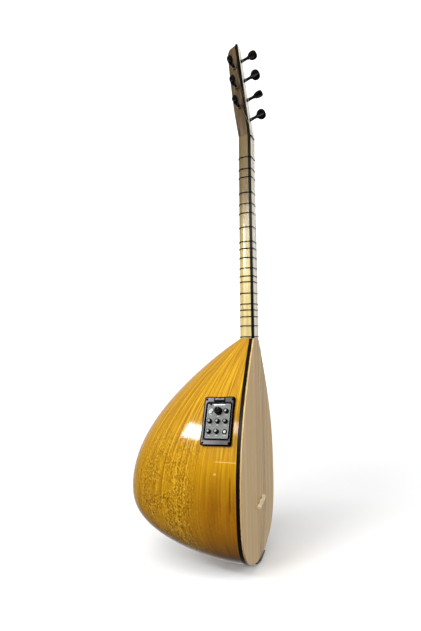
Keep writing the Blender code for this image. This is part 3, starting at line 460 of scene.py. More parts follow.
def arch(half_width, depth, roundness, segments):
    """Points of a rounded arch from the -X side over the back to the +X side, as (x, distance back)."""
    points = []
    for i in range(segments + 1):
        angle = math.pi * i / segments
        c = math.cos(angle)
        x = -math.copysign(abs(c) ** (2 / roundness), c) * half_width
        back = abs(math.sin(angle)) ** (2 / roundness) * depth
        points.append((x, back))
    return points


STATIONS = [BODY_LENGTH * (i / BODY_STEPS) ** 2 for i in range(1, BODY_STEPS + 1)]


def bowl_ring(rise, outline, keel, segments):
    half = across(outline, rise)
    depth = across(keel, rise)
    return [(x, RIM + back, BODY_BOTTOM + rise) for x, back in arch(half, depth, BOWL_ROUNDNESS, segments)]


def bowl_skin(name, grow=0.0):
    outline = inset(OUTLINE, -grow)
    keel = inset(KEEL, -grow)
    rings = [[(0.0, RIM, BODY_BOTTOM)]]
    rings += [bowl_ring(rise, outline, keel, BOWL_SEGMENTS) for rise in STATIONS]
    return loft(name, rings)


def cavity_cutter():
    outline = inset(OUTLINE, BOWL_WALL)
    keel = inset(KEEL, BOWL_WALL)
    front = RIM - CUT_MARGIN
    rings = []
    for i in range(CAVITY_STEPS + 1):
        rise = mix(TAIL_BLOCK, BODY_LENGTH - NECK_BLOCK, (i / CAVITY_STEPS) ** 1.4)
        ring = bowl_ring(rise, outline, keel, BOWL_SEGMENTS // 2)
        first, last = ring[0], ring[-1]
        rings.append([(first[0], front, first[2])] + ring + [(last[0], front, last[2])])
    return loft("cavity", rings)


def outline_path(limit=BODY_LENGTH):
    """The outline from the neck's +X side down round the tail and up the -X side, as (x, z)."""
    rises = [rise for rise in STATIONS if PATH_START <= rise <= limit + FIT]
    side = [(across(OUTLINE, rise), BODY_BOTTOM + rise) for rise in rises]
    return side[::-1] + [(0.0, BODY_BOTTOM)] + [(-x, z) for x, z in side]


def moved_path(path, inwards):
    """The path with every span moved inwards by the same amount, its two ends kept at their own height."""
    points = [Vector(point) for point in path]
    runs = [(high - low).normalized() for low, high in zip(points, points[1:])]
    normals = [Vector((run.y, -run.x)) for run in runs]
    moved = [points[0] + Vector((inwards / normals[0].x, 0))]
    for point, before, after in zip(points[1:], normals, normals[1:]):
        moved.append(point + (before + after) * inwards / (1 + before.dot(after)))
    moved.append(points[-1] + Vector((inwards / normals[-1].x, 0)))
    return moved


def edge_strip(name, path, outer, inner, front, back, overrun=0.0):
    """A strip along the outline, between two insets and two depths. An overrun lengthens both ends."""
    sides = []
    for inwards in (outer, inner):
        side = moved_path(path, inwards)
        if overrun:
            lift = Vector((0, overrun))
            side = [side[0] + lift] + side + [side[-1] + lift]
        sides.append(side)
    rings = []
    for out, into in zip(*sides):
        corners = ((out, front), (out, back), (into, back), (into, front))
        rings.append([(point.x, y, point.y) for point, y in corners])
    return loft(name, rings)


# Preamp frame of reference: local X runs to the front of the bowl, Y up its side, Z out of it

PREAMP_X = joint_axis("panel_hinge")
PREAMP_Y = joint_axis("latch_slide")
PREAMP_Z = joint_axis("volume_knob_turn")
PREAMP_ORIGIN = joint_point("panel_hinge") - PREAMP_Y * HINGE_UP - PREAMP_Z * HINGE_OUT
PREAMP = frame_at(PREAMP_ORIGIN, PREAMP_X, PREAMP_Y, PREAMP_Z)
ALONG_PREAMP = frame_at(PREAMP_ORIGIN, PREAMP_Y, PREAMP_Z, PREAMP_X)


def jack_frame_of_reference():
    """At the output jack: local Z runs into the bowl, square to its wall."""
    step = 0.004
    tail = KEEL[:CURVE_SAMPLES]
    rises = np.interp((JACK_BACK - step, JACK_BACK, JACK_BACK + step), tail[:, 0], tail[:, 1])
    origin = Vector((0.0, RIM + JACK_BACK, BODY_BOTTOM + rises[1]))
    along = Vector((0.0, 2 * step, rises[2] - rises[0])).normalized()
    side = Vector((1, 0, 0))
    return frame_at(origin, side, along, side.cross(along))


JACK = jack_frame_of_reference()


def add_meridians(item):
    """A UV map in metres over the bowl: U runs round it from rim to rim at its widest, V along the keel."""
    mesh = item.data
    girth = math.pi * (BODY_WIDTH / 2 + BODY_DEPTH) / 2
    layer = mesh.uv_layers.new(name="meridians")
    for face in mesh.polygons:
        centre = face.center
        for corner in face.loop_indices:
            point = mesh.vertices[mesh.loops[corner].vertex_index].co
            rise = point.z - BODY_BOTTOM
            if rise < FIT:
                point = point.lerp(centre, 0.5)
            level = max(point.z - BODY_BOTTOM, 1e-6)
            x_share = min(abs(point.x) / across(OUTLINE, level), 1.0) ** (BOWL_ROUNDNESS / 2)
            y_share = max((point.y - RIM) / across(KEEL, level), 0.0) ** (BOWL_ROUNDNESS / 2)
            angle = math.atan2(y_share, math.copysign(x_share, -point.x))
            layer.data[corner].uv = (girth * angle / math.pi, float(np.interp(rise, KEEL[:, 1], KEEL_RUN)))


# Body pieces

def preamp_window():
    width = PANEL_WIDTH + 2 * PANEL_GAP
    height = PANEL_HEIGHT + 2 * PANEL_GAP
    return rounded_rectangle(width, height, PANEL_CORNER + PANEL_GAP)


def make_bowl(look):
    bowl = bowl_skin("bowl_shell")
    inner = RIM_BAND_THICKNESS + FIT
    back = RIM + RIM_BAND_HEIGHT + FIT
    rebate = edge_strip("rebate", outline_path(), -CUT_MARGIN, inner, RIM - CUT_MARGIN, back, CUT_MARGIN)
    hole = circle(SOUND_HOLE_RADIUS, centre=(0.0, RIM + SOUND_HOLE_BACK))
    sound_hole = prism("sound_hole", hole, -CUT_MARGIN, BODY_BOTTOM + 3 * TAIL_BLOCK)
    barrel = circle(JACK_BARREL_RADIUS + 2 * FIT)
    jack_hole = prism("jack_hole", barrel, -BOWL_WALL, 3 * BOWL_WALL, JACK)
    window = prism("window", preamp_window(), -4 * BOWL_WALL, 4 * BOWL_WALL, PREAMP)
    carve(bowl, [rebate, cavity_cutter(), sound_hole, jack_hole, window])
    add_meridians(bowl)
    return dress(bowl, look, "bowl_wood", "bowl")


def holder_top(grow=0.0):
    """The line where the string holder meets the soundboard, bowed down in the middle, as (x, z)."""
    end_x, end_z = moved_path(outline_path(HOLDER_RISE), -(FIT + HOLDER_WALL))[0]
    points = []
    for i in range(25):
        x = mix(-end_x, end_x, i / 24)
        points.append((x, end_z + grow - HOLDER_BOW * (1 - (x / end_x) ** 2)))
    return points


def slab(name, outline, *levels):
    """An outline of (x, z) points, drawn from one Y to another."""
    return loft(name, [[(x, y, z) for x, z in outline] for y in levels])


def make_soundboard(look):
    board = slab("soundboard_plate", outline_path(), SOUNDBOARD_THICKNESS, 0.0)
    line = holder_top(FIT)
    wide = BODY_WIDTH
    ends = [(wide, line[-1][1]), (wide, -wide), (-wide, -wide), (-wide, line[0][1])]
    carve(board, [slab("seat", line + ends, -CUT_MARGIN, SOUNDBOARD_THICKNESS + CUT_MARGIN)])
    dress(board, look, "spruce", "soundboard")
    return soften(board, 0.0004)


def make_rim_band(look):
    back = RIM + RIM_BAND_HEIGHT
    band = edge_strip("rim_binding", outline_path(), 0.0, RIM_BAND_THICKNESS, RIM, back)
    dress(band, look, "black_wood", "rim_band")
    return soften(band, 0.0003, 2)


def string_columns(course_pitch, pair_pitch):
    """X of every string where it crosses a nut or bridge with these pitches."""
    columns = []
    for course, count in enumerate(COURSES):
        middle = (course - (len(COURSES) - 1) / 2) * course_pitch
        for i in range(count):
            columns.append(middle + (i - (count - 1) / 2) * pair_pitch)
    return columns


NUT_COLUMNS = string_columns(COURSE_PITCH_NUT, PAIR_PITCH_NUT)
BRIDGE_COLUMNS = string_columns(COURSE_PITCH_BRIDGE, PAIR_PITCH_BRIDGE)
HOLDER_COLUMNS = [(i - (len(STRING_RADII) - 1) / 2) * HOLDER_PITCH for i in range(len(STRING_RADII))]


def holder_hole_frame(x):
    """Local Z runs from the cap's face into a string hole."""
    origin = Vector((x, -HOLDER_PROUD, BODY_BOTTOM + HOLDER_HOLE_RISE))
    return frame_at(origin, Vector((1, 0, 0)), Vector((0, 0, -1)), Vector((0, 1, 0)))


def make_string_holder(look):
    """A cap over the tip of the soundboard and a flange behind it that wraps the tail."""
    path = outline_path(HOLDER_RISE)
    outside = -(FIT + HOLDER_WALL)
    outline = moved_path(path, outside) + holder_top()[1:-1]
    holder = slab("tail_cap", outline, SOUNDBOARD_THICKNESS, -HOLDER_PROUD)
    flange = edge_strip("flange", path, outside, -FIT, SOUNDBOARD_THICKNESS / 2, HOLDER_BACK)
    carve(holder, [flange], "UNION")
    wide = BODY_WIDTH
    cutters = [box("foot", (-wide, -wide, -wide), (wide, wide, 0.0))]
    for x in HOLDER_COLUMNS:
        hole = circle(HOLDER_HOLE_RADIUS, 16)
        cutters.append(prism("hole", hole, -CUT_MARGIN, HOLDER_HOLE_DEPTH, holder_hole_frame(x)))
    carve(holder, cutters)
    dress(holder, look, "black_wood", "string_holder")
    return soften(holder, 0.00035, 2)


def bridge_height_at(x):
    """Height of the slanted bridge's middle line at this X."""
    return BRIDGE + x * math.tan(BRIDGE_SLANT)


BRIDGE_GROOVE = 0.0003


def make_bridge(look):
    """A slanted bar on three feet, its ends sloping and its top edge thinner than its feet."""
    half = BRIDGE_LENGTH / 2
    base = -FIT
    top = base - BRIDGE_HEIGHT
    lower = base - 0.35 * BRIDGE_HEIGHT
    crest = 0.90 * half
    outline = [(-half, base), (-half, lower), (-crest, top), (crest, top), (half, lower), (half, base)]
    span = (half - 1.5 * BRIDGE_FOOT) / 2
    arches = {}
    for side in (1, -1):
        middle = side * (BRIDGE_FOOT / 2 + span)
        arches[side] = []
        for step in range(21):
            angle = math.pi * step / 20
            rise = BRIDGE_ARCH_HEIGHT * math.sin(angle)
            arches[side].append((middle + side * span * math.cos(angle), base - rise))
    outline += arches[1] + arches[-1][::-1]
    rings = []
    for side in (-1, 1):
        ring = []
        for x, y in outline:
            thickness = mix(BRIDGE_THICKNESS, BRIDGE_TOP_THICKNESS, (base - y) / BRIDGE_HEIGHT)
            ring.append((x, y, bridge_height_at(x) + side * thickness / 2))
        rings.append(ring)
    bridge = loft("bridge_bar", rings)
    grooves = []
    for x in BRIDGE_COLUMNS:
        low = (x - BRIDGE_GROOVE, top - CUT_MARGIN, BRIDGE - BRIDGE_LENGTH)
        grooves.append(box("groove", low, (x + BRIDGE_GROOVE, top + BRIDGE_GROOVE, BRIDGE + BRIDGE_LENGTH)))
    carve(bridge, grooves)
    dress(bridge, look, "bridge_wood", "bridge")
    return soften(bridge, 0.0004)


# Neck and headstock

def neck_share(z):
    return (z - BODY_TOP) / (HEAD_START - BODY_TOP)


def neck_half(z):
    return mix(NECK_WIDTH_BODY, NECK_WIDTH_NUT, neck_share(z)) / 2


def neck_depth(z):
    return mix(NECK_DEPTH_BODY, NECK_DEPTH_NUT, neck_share(z))


def head_share(z):
    return (z - HEAD_START) / HEAD_LENGTH


def head_half(z):
    return mix(NECK_WIDTH_NUT, HEAD_TOP_WIDTH, head_share(z)) / 2


def head_face(z):
    return max(z - HEAD_START, 0.0) * math.tan(HEAD_TILT)


def head_depth(z):
    belly = mix(HEAD_BELLY_DEPTH, HEAD_TOP_DEPTH, 0.22)
    depths = (NECK_DEPTH_NUT, HEAD_BELLY_DEPTH, belly, HEAD_TOP_DEPTH)
    return float(np.interp(head_share(z), (0.0, 0.30, 0.62, 1.0), depths))


def make_neck(look):
    low = BODY_TOP + FIT
    high = HEAD_START - FIT
    rings = []
    for i in range(13):
        z = mix(low, high, i / 12)
        points = arch(neck_half(z), neck_depth(z) - NECK_FACE, BOWL_ROUNDNESS, NECK_SEGMENTS)
        rings.append([(x, NECK_FACE + back, z) for x, back in points])
    return dress(loft("neck_shaft", rings), look, "neck_wood", "neck")


# Up the head: share of its height, boxiness, how far the back drops, and share of its depth
HEAD_STAGES = np.array(
    (
        (0.0, BOWL_ROUNDNESS, 0.0, 1.0),
        (0.08, 2.8, 0.0, 1.0),
        (0.20, 4.0, 0.0, 1.0),
        (0.34, HEAD_BOXINESS, 0.0, 1.0),
        (0.62, HEAD_BOXINESS, 0.0, 1.0),
        (0.88, HEAD_BOXINESS, 0.12, 1.0),
        (0.955, HEAD_BOXINESS, 0.36, 0.97),
        (1.0, HEAD_BOXINESS, 0.62, 0.84),
    )
)


def head_ring(z):
    """A cross-section with a step at each front corner for the bindings. Its back drops near the top."""
    share = head_share(z)
    boxiness, slope, deep = (np.interp(share, HEAD_STAGES[:, 0], HEAD_STAGES[:, i]) for i in (1, 2, 3))
    half = head_half(z)
    face = head_face(z)
    step = NECK_FACE
    inner = half - BINDING_THICKNESS - FIT
    depth = head_depth(z) * deep - step
    points = [(-inner, 0.0), (-inner, step)]
    points += [(x, step + back) for x, back in arch(half, depth, boxiness, NECK_SEGMENTS)]
    points += [(inner, step), (inner, 0.0)]
    return [(x, face + back, z - back * slope) for x, back in points]


def peg_frame(name, hint):
    """Local Z runs out of the head along the peg."""
    out = joint_axis(name + "_turn")
    side = Vector(hint)
    side = (side - out * out.dot(side)).normalized()
    return frame_at(joint_point(name + "_turn"), side, out.cross(side), out)


def peg_list():
    """Each peg's name, frame, length of shaft inside the head, and turn."""
    pegs = []
    for number, turn in enumerate(FRONT_PEG_TURNS, 1):
        matrix = peg_frame(f"front_peg_{number}", (1, 0, 0))
        inside = head_depth(matrix.translation.z) / math.cos(FRONT_PEG_LEAN)
        pegs.append((f"front_peg_{number}", matrix, inside, turn))
    for number, turn in enumerate(SIDE_PEG_TURNS, 1):
        matrix = peg_frame(f"side_peg_{number}", (0, 1, 0))
        pegs.append((f"side_peg_{number}", matrix, 2 * head_half(matrix.translation.z), turn))
    return pegs


PEGS = peg_list()


def make_headstock(look):
    rings = [head_ring(mix(HEAD_START, HEAD_TOP, i / HEAD_STEPS)) for i in range(HEAD_STEPS + 1)]
    head = loft("peg_head", rings)
    outline = circle(PEG_RADIUS + PEG_HOLE_CLEARANCE, PEG_SIDES)
    holes = []
    for _, matrix, inside, _ in PEGS:
        holes.append(prism("hole", outline, -inside - 3 * PEG_TIP_LENGTH, 0.4 * PEG_SHAFT_LENGTH, matrix))
    carve(head, holes)
    return dress(head, look, "head_wood", "headstock")


FRET_TURNS = 3
FRET_CORNER = 0.0010
KNOT_PLACE = 10


def make_fret(number, look):
    """Nylon line wound three times round the neck, with a flat knot at the back of its -X side."""
    node = f"fret_{number:02d}"
    low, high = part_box(node)
    middle = (low.z + high.z) / 2
    line = (high.z - low.z) / (2 * FRET_TURNS)
    away = FIT + line
    half = neck_half(middle) + away
    points = arch(half, neck_depth(middle) + away - NECK_FACE, BOWL_ROUNDNESS, 36)
    loop = [(x, NECK_FACE + back) for x, back in points]
    front = half - FRET_CORNER
    loop += [(half, FRET_CORNER), (front, -away), (-front, -away), (-half, FRET_CORNER)]
    count = len(loop)
    path = []
    for i in range(FRET_TURNS * count + 1):
        x, y = loop[(KNOT_PLACE + i) % count]
        path.append((x, y, middle + 2 * line * (i / count - FRET_TURNS / 2)))
    strand = wire(f"{node}_line", path, line * 0.98)
    knot_x, knot_y = loop[KNOT_PLACE]
    outwards = Vector((knot_x, knot_y - 0.012, 0)).normalized()
    knot = []
    for i in range(13):
        share = i / 12
        lift = 1.1 * line * math.sin(math.pi * share)
        knot.append(Vector((knot_x, knot_y, mix(low.z, high.z, share))) + outwards * lift)
    strand = joined(f"{node}_line", [strand, wire("knot", knot, line * 1.1)])
    return dress(strand, look, "fret_line", node)


# The peg's profile: share of the shaft's length and of its radius, then share of the head's length,
# thickness and width
PEG_SHAFT = ((0.80, 0.9), (0.87, 0.9), (0.89, 1.2), (0.95, 1.2))
PEG_HEAD = (
    (0.06, 0.66, 0.52),
    (0.20, 0.78, 0.82),
    (0.42, 0.88, 0.99),
    (0.64, 0.96, 0.98),
    (0.84, 1.00, 0.82),
    (0.95, 0.92, 0.56),
    (1.0, 0.55, 0.28),
    (1.0, 0.0, 0.0),
)


def make_peg(name, matrix, inside, turn, look):
    """A tapered shaft, a bead and a flattened round head, lofted along the peg's axis."""
    tip = -inside - PEG_TIP_PROUD
    end = 0.7 * PEG_TIP_RADIUS
    stages = [(tip, 0.0, 0.0), (tip, end, end)]
    stages.append((tip + 0.3 * PEG_TIP_LENGTH, PEG_TIP_RADIUS, PEG_TIP_RADIUS))
    stages.append((0.0, PEG_RADIUS, PEG_RADIUS))
    for share, reach in PEG_SHAFT:
        stages.append((share * PEG_SHAFT_LENGTH, reach * PEG_RADIUS, reach * PEG_RADIUS))
    stages.append((PEG_SHAFT_LENGTH, 0.95 * PEG_RADIUS, PEG_RADIUS))
    for share, thin, broad in PEG_HEAD:
        along = PEG_SHAFT_LENGTH + share * PEG_HEAD_LENGTH
        stages.append((along, thin * PEG_HEAD_THICKNESS / 2, broad * PEG_HEAD_WIDTH / 2))
    spin = matrix @ Matrix.Rotation(math.radians(turn), 4, "Z")
    rings = []
    for along, thin, broad in stages:
        sides = [(0.0, 0.0)] if thin == 0 else circle(1.0, PEG_SIDES)
        rings.append([spin @ Vector((x * thin, y * broad, along)) for x, y in sides])
    peg = loft(f"{name}_turning", rings)
    dress(peg, look, "peg_black", name, sharp=70)
    smooth = peg.modifiers.new("smooth", "SUBSURF")
    smooth.levels = smooth.render_levels = 2
    return peg


# Strings

COIL_STEPS = 24


def coil(matrix, start, level, radius, string_radius, prefer):
    """Turns round a peg. The string comes from start and meets the coil at its tangent point."""
    axis = matrix.to_3x3() @ Vector((0, 0, 1))
    centre = matrix @ Vector((0, 0, level))
    towards = Vector(start) - centre
    towards -= axis * towards.dot(axis)
    first = towards.normalized()
    second = axis.cross(first)
    meet = math.acos(radius / towards.length)
    sense = 1 if (second * math.sin(meet)).dot(prefer) > 0 else -1
    pitch = 2 * string_radius + COIL_GAP
    points = []
    for i in range(COIL_TURNS * COIL_STEPS + 1):
        turns = i / COIL_STEPS
        angle = sense * (meet + 2 * math.pi * turns)
        spoke = first * math.cos(angle) + second * math.sin(angle)
        points.append(centre + spoke * radius - axis * pitch * turns)
    last = points[-1]
    into = centre - axis * pitch * COIL_TURNS
    points.append(last.lerp(into, 0.2) + (last - points[-2]) * 0.8)
    points.append(last.lerp(into, 0.6) + (last - points[-3]) * 0.4)
    return points


def edge_bend(string_radius, order):
    """Where a string for a side peg bends over the head's -X front edge."""
    z = HEAD_START + (0.11 + 0.085 * order) * HEAD_LENGTH
    away = string_radius + 2 * STRING_GAP
    return Vector((-head_half(z) - away, head_face(z) - away, z))


def make_string(number, matrix, side_order, look):
    radius = STRING_RADII[number]
    away = radius + STRING_GAP
    hole = holder_hole_frame(HOLDER_COLUMNS[number])
    bridge_x = BRIDGE_COLUMNS[number]
    nut_x = NUT_COLUMNS[number]
    bridge_z = bridge_height_at(bridge_x)
    crest = -FIT - BRIDGE_HEIGHT - away
    nut_crest = -NUT_RISE - away
    points = [
        hole @ Vector((0, 0, 0.6 * HOLDER_HOLE_DEPTH)),
        hole @ Vector((0, 0, 0.2 * HOLDER_HOLE_DEPTH)),
        hole @ Vector((0, -0.3 * away, -0.7 * away)),
        hole @ Vector((0, -away, -away)),
        Vector((bridge_x, crest, bridge_z - BRIDGE_TOP_THICKNESS / 2)),
        Vector((bridge_x, crest, bridge_z + BRIDGE_TOP_THICKNESS / 2)),
        Vector((nut_x, nut_crest, NUT)),
        Vector((nut_x, nut_crest, NUT + 0.4 * NUT_THICKNESS)),
    ]
    prefer = Vector((1, 0, 0))
    if side_order is not None:
        points.append(edge_bend(radius, side_order))
        prefer = Vector((0, -1, 0))
    points += coil(matrix, points[-1], COIL_RISE, PEG_RADIUS + away, radius, prefer)
    node = f"string_{number + 1}"
    return dress(wire(f"{node}_wire", points, radius), look, "steel", node)


# Preamp

def control_grid():
    """Places of the controls on the panel's 3 by 3 grid, as (column, row) to (x, y)."""
    places = {}
    for column in (-1, 0, 1):
        for row in (-1, 0, 1):
            places[column, row] = (column * CONTROL_PITCH_ACROSS, CONTROL_MIDDLE + row * CONTROL_PITCH_UP)
    return places


def leaning(outline, angle, place):
    """The outline turned about its middle, then moved to a place."""
    turn = Matrix.Rotation(angle, 2)
    return [tuple(turn @ Vector(point) + Vector(place)) for point in outline]


def on_preamp(place, rise=0.0):
    """A frame of reference at a place on the preamp, this far out along its Z."""
    return PREAMP @ Matrix.Translation((place[0], place[1], rise))


def preamp_box(name, low, high):
    return box(name, low, high, PREAMP)


GRID = control_grid()
KNOBS = {
    "gain_knob": (1, 1),
    "bass_knob": (-1, 0),
    "middle_knob": (0, 0),
    "treble_knob": (1, 0),
    "presence_knob": (-1, -1),
    "blend_knob": (0, -1),
}
VOLUME_PLACE = GRID[0, 1]
MUTE_OUTLINE = leaning(rounded_rectangle(0.0066, 0.0096, 0.0030), math.radians(-27), GRID[-1, 1])
NOTCH_OUTLINE = circle(0.0026, ROUND_SIDES, GRID[1, -1])
TUNER_OUTLINE = rounded_rectangle(0.0032, 0.0032, 0.0006, (-0.0152, DISPLAY_RISE - 0.0004))
BUTTONS = {"mute_button": MUTE_OUTLINE, "notch_button": NOTCH_OUTLINE, "tuner_button": TUNER_OUTLINE}
SCREW_PLACES = [(x, y) for x in (-0.0240, 0.0240) for y in (-0.0380, 0.0380)]
SCREW_RADIUS = 0.0019
SCREW_SINK = 0.0009
SCREW_PROFILE = ((0.0, 0.0010), (0.35, 0.00098), (0.7, 0.0008), (1.0, 0.0004), (1.0, 0.0))
SCREW_ARM = 0.0010
SCREW_BLADE = 0.0002
SHADE_BAND_WIDTH = 0.0014
EDGING_SHADE = 0.0012


def outgrown(outline, amount):
    """A convex outline with its points pushed away from its middle."""
    middle = Vector((sum(p[0] for p in outline), sum(p[1] for p in outline))) / len(outline)
    grown = []
    for point in outline:
        away = Vector(point) - middle
        grown.append(tuple(middle + away * (1 + amount / away.length)))
    return grown


def hinge_rod(name, radius, reach):
    """A rod along the panel's lower edge that stands out of both its ends by this much."""
    half = PANEL_WIDTH / 2 + reach
    matrix = ALONG_PREAMP @ Matrix.Translation((HINGE_UP, HINGE_OUT, -half))
    return prism(name, circle(radius, 20), 0.0, 2 * half, matrix)


def latch_pocket(foot, floor):
    """A cutter for the latch's pocket, from a foot and a floor outwards."""
    side = LATCH_WIDTH / 2 + LATCH_GAP
    return preamp_box("pocket", (-side, foot, floor), (side, FRAME_HEIGHT, FRAME_SKIRT))


def make_preamp_frame(look):
    outer = rounded_rectangle(FRAME_WIDTH, FRAME_HEIGHT, FRAME_CORNER)
    surround = prism("preamp_surround", outer, -FRAME_SKIRT, FRAME_PROUD, PREAMP)
    opening = prism("opening", preamp_window(), -3 * FRAME_SKIRT, FRAME_SKIRT, PREAMP)
    pocket = latch_pocket(PANEL_HEIGHT / 2, FRAME_PROUD - LATCH_POCKET)
    pins = hinge_rod("pin_holes", PIN_RADIUS + PIN_CLEARANCE, 2 * PANEL_GAP + PIN_REACH)
    side = PANEL_WIDTH / 2 + PANEL_GAP
    foot = -PANEL_HEIGHT / 2 - PANEL_GAP
    low = (-side, foot, HINGE_OUT - PANEL_PLATE)
    swing = preamp_box("swing", low, (side, foot + 2 * PANEL_CORNER, FRAME_SKIRT))
    cutters = [opening, pocket, pins, swing, bowl_skin("seat", FIT)]
    for place in SCREW_PLACES:
        sink = circle(SCREW_RADIUS + FIT, 24, place)
        cutters.append(prism("sink", sink, FRAME_PROUD - SCREW_SINK, FRAME_SKIRT, PREAMP))
    carve(surround, cutters)
    dress(surround, look, "dark_plastic", "preamp_frame")
    return soften(surround, 0.0005)


def make_frame_shade_band(look):
    """A black band of painted shade round the frame's outer edge, for its shaded sides, wider on the side
    toward the soundboard and below.
    """
    outer = rounded_rectangle(FRAME_WIDTH + 2 * FIT, FRAME_HEIGHT + 2 * FIT, FRAME_CORNER + FIT)
    width = FRAME_WIDTH - 2 * SHADE_BAND_WIDTH - EDGING_SHADE
    height = FRAME_HEIGHT - 2 * SHADE_BAND_WIDTH - EDGING_SHADE / 2
    middle = (-EDGING_SHADE / 2, EDGING_SHADE / 4)
    inner = rounded_rectangle(width, height, FRAME_CORNER - SHADE_BAND_WIDTH, middle)
    shade_band = prism("frame_shade_band", outer, FRAME_PROUD - SHADE_BAND_WIDTH, FRAME_PROUD + FIT, PREAMP)
    hollow = prism("hollow", inner, -FRAME_SKIRT, FRAME_SKIRT, PREAMP)
    carve(shade_band, [hollow, latch_pocket(0.0, -FRAME_SKIRT)])
    dress(shade_band, look, "black_plastic", body="root")
    return soften(shade_band, 0.0003, 2)


def make_screws(look):
    """Small cross-headed screws in the frame's corners, each turned its own way."""
    screws = []
    for x, y in SCREW_PLACES:
        matrix = on_preamp((x, y), FRAME_PROUD - SCREW_SINK) @ Matrix.Rotation(x + 31 * y, 4, "Z")
        profile = [(share * SCREW_RADIUS, height) for share, height in SCREW_PROFILE]
        arms = []
        for long, wide in ((SCREW_ARM, SCREW_BLADE), (SCREW_BLADE, SCREW_ARM)):
            arms.append(box("arm", (-long, -wide, 0.4 * SCREW_ARM), (long, wide, 2 * SCREW_ARM), matrix))
        screws.append(carve(turned("screw", profile, matrix, 24), arms))
    return dress(joined("corner_screws", screws), look, "black_plastic", body="root")


def battery_block(name, grow, overrun):
    """The battery's own size, or its pocket, at the back of the housing."""
    width, height, depth = BATTERY_SIZE
    middle = -PANEL_HEIGHT / 2 + HOUSING_FOOT + HOUSING_HEIGHT / 2
    back = -HOUSING_DEPTH + FIT
    low = (-width / 2 - grow, middle - height / 2 - grow, back - overrun)
    return preamp_box(name, low, (width / 2 + grow, middle + height / 2 + grow, back + depth + grow))


def make_control_panel(look):
    outline = rounded_rectangle(PANEL_WIDTH, PANEL_HEIGHT, PANEL_CORNER)
    panel = prism("preamp_panel", outline, PANEL_BACK, PANEL_FACE, PREAMP)
    foot = -PANEL_HEIGHT / 2 + HOUSING_FOOT
    high = (HOUSING_WIDTH / 2, foot + HOUSING_HEIGHT, PANEL_BACK + PANEL_PLATE / 3)
    housing = preamp_box("housing", (-HOUSING_WIDTH / 2, foot, -HOUSING_DEPTH), high)
    carve(panel, [housing, hinge_rod("pins", PIN_RADIUS, PANEL_GAP + PIN_REACH)], "UNION")
    shaft_hole = SHAFT_RADIUS + SHAFT_CLEARANCE
    holes = []
    for place in [VOLUME_PLACE] + [GRID[key] for key in KNOBS.values()]:
        holes.append((circle(shaft_hole, 24, place), SHAFT_LENGTH + 2 * FIT))
    for outline in BUTTONS.values():
        holes.append((outgrown(outline, BUTTON_CLEARANCE), BUTTON_STEM + BUTTON_TRAVEL + FIT))
    recess = rounded_rectangle(DISPLAY_WIDTH + 2 * FIT, DISPLAY_HEIGHT + 2 * FIT, 0.0007, DISPLAY_PLACE)
    holes.append((recess, DISPLAY_THICKNESS + 2 * FIT))
    cutters = [battery_block("pocket", FIT, CUT_MARGIN)]
    for outline, depth in holes:
        cutters.append(prism("hole", outline, PANEL_FACE - depth, FRAME_SKIRT, PREAMP))
    carve(panel, cutters)
    dress(panel, look, "grey_plastic", "control_panel")
    return soften(panel, 0.0003, 2)


MARK_HEIGHT = 0.00006
GROOVE_SHADE_WIDTH = 0.0029
GROOVE_SHADE_INSET = 0.0002
BEZEL_RADIUS = 0.0030
BEZEL_PROFILE = ((0.0, 0.0), (0.0, 0.0005), (0.0003, 0.0008), (0.0012, 0.0008), (0.0016, 0.0))
MARK_BACK = 0.00001
BAR_LENGTH = 0.0048
BAR_WIDTH = 0.0009


def ring_plate(name, inset_by, width, low, high):
    """A rounded frame that follows the panel's edge at this inset."""
    rings = []
    for away, extra in ((inset_by, 0.0), (inset_by + width, CUT_MARGIN)):
        corner = max(PANEL_CORNER - away, 0.0005)
        outline = rounded_rectangle(PANEL_WIDTH - 2 * away, PANEL_HEIGHT - 2 * away, corner)
        rings.append(prism(name, outline, low - extra, high + extra, PREAMP))
    return carve(rings[0], [rings[1]])


def make_panel_trim(look):
    """A black ring of painted shade for the groove round the panel's edge, and a black ring round the notch
    button.
    """
    foot = PANEL_FACE - GROOVE_SHADE_INSET
    # Painted shade: a black ring on the panel's face for the dark groove round it
    groove_shade = ring_plate("groove_shade", GROOVE_SHADE_INSET, GROOVE_SHADE_WIDTH, foot, PANEL_FACE + 0.0001)
    profile = [(BEZEL_RADIUS + out, height) for out, height in BEZEL_PROFILE]
    bezel = turned("bezel", profile, on_preamp(GRID[1, -1], PANEL_FACE))
    return dress(joined("panel_trim", [groove_shade, bezel]), look, "black_plastic", body="panel_body")


def make_panel_marks(look):
    """Printed marks: ticks round each knob and a bar under every control, with a pale line along the edge
    that is a painted highlight.
    """
    marks = []

    def mark(x, y, length, width, angle=0.0):
        matrix = on_preamp((x, y), PANEL_FACE) @ Matrix.Rotation(angle, 4, "Z")
        high = (length / 2, width / 2, MARK_HEIGHT)
        marks.append(box("mark", (-length / 2, -width / 2, MARK_BACK), high, matrix))

    dials = [(VOLUME_PLACE, VOLUME_RADIUS)] + [(GRID[key], KNOB_RADIUS) for key in KNOBS.values()]
    for (x, y), radius in dials:
        reach = radius + 0.0011
        for step in range(-5, 6):
            angle = math.pi / 2 + step * math.radians(27)
            mark(x + reach * math.cos(angle), y + reach * math.sin(angle), 0.0008, 0.00022, angle)
    for (x, y), radius in dials:
        mark(x, y - radius - 0.0021, BAR_LENGTH, BAR_WIDTH)
    mark(GRID[-1, 1][0], GRID[-1, 1][1] - 0.0063, 0.0040, BAR_WIDTH)
    mark(GRID[1, -1][0], GRID[1, -1][1] - 0.0063, BAR_LENGTH, BAR_WIDTH)
    mark(0.0152, DISPLAY_RISE, 0.0056, BAR_WIDTH)
    levels = (PANEL_FACE + MARK_BACK, PANEL_FACE + MARK_HEIGHT)
    # Painted highlight: a pale line along the panel's edge for the light on its bevel
    marks.append(ring_plate("edge_highlight_line", GROOVE_SHADE_WIDTH + FIT, FIT, *levels))
    return dress(joined("panel_marks", marks), look, "white_plastic", body="panel_body")


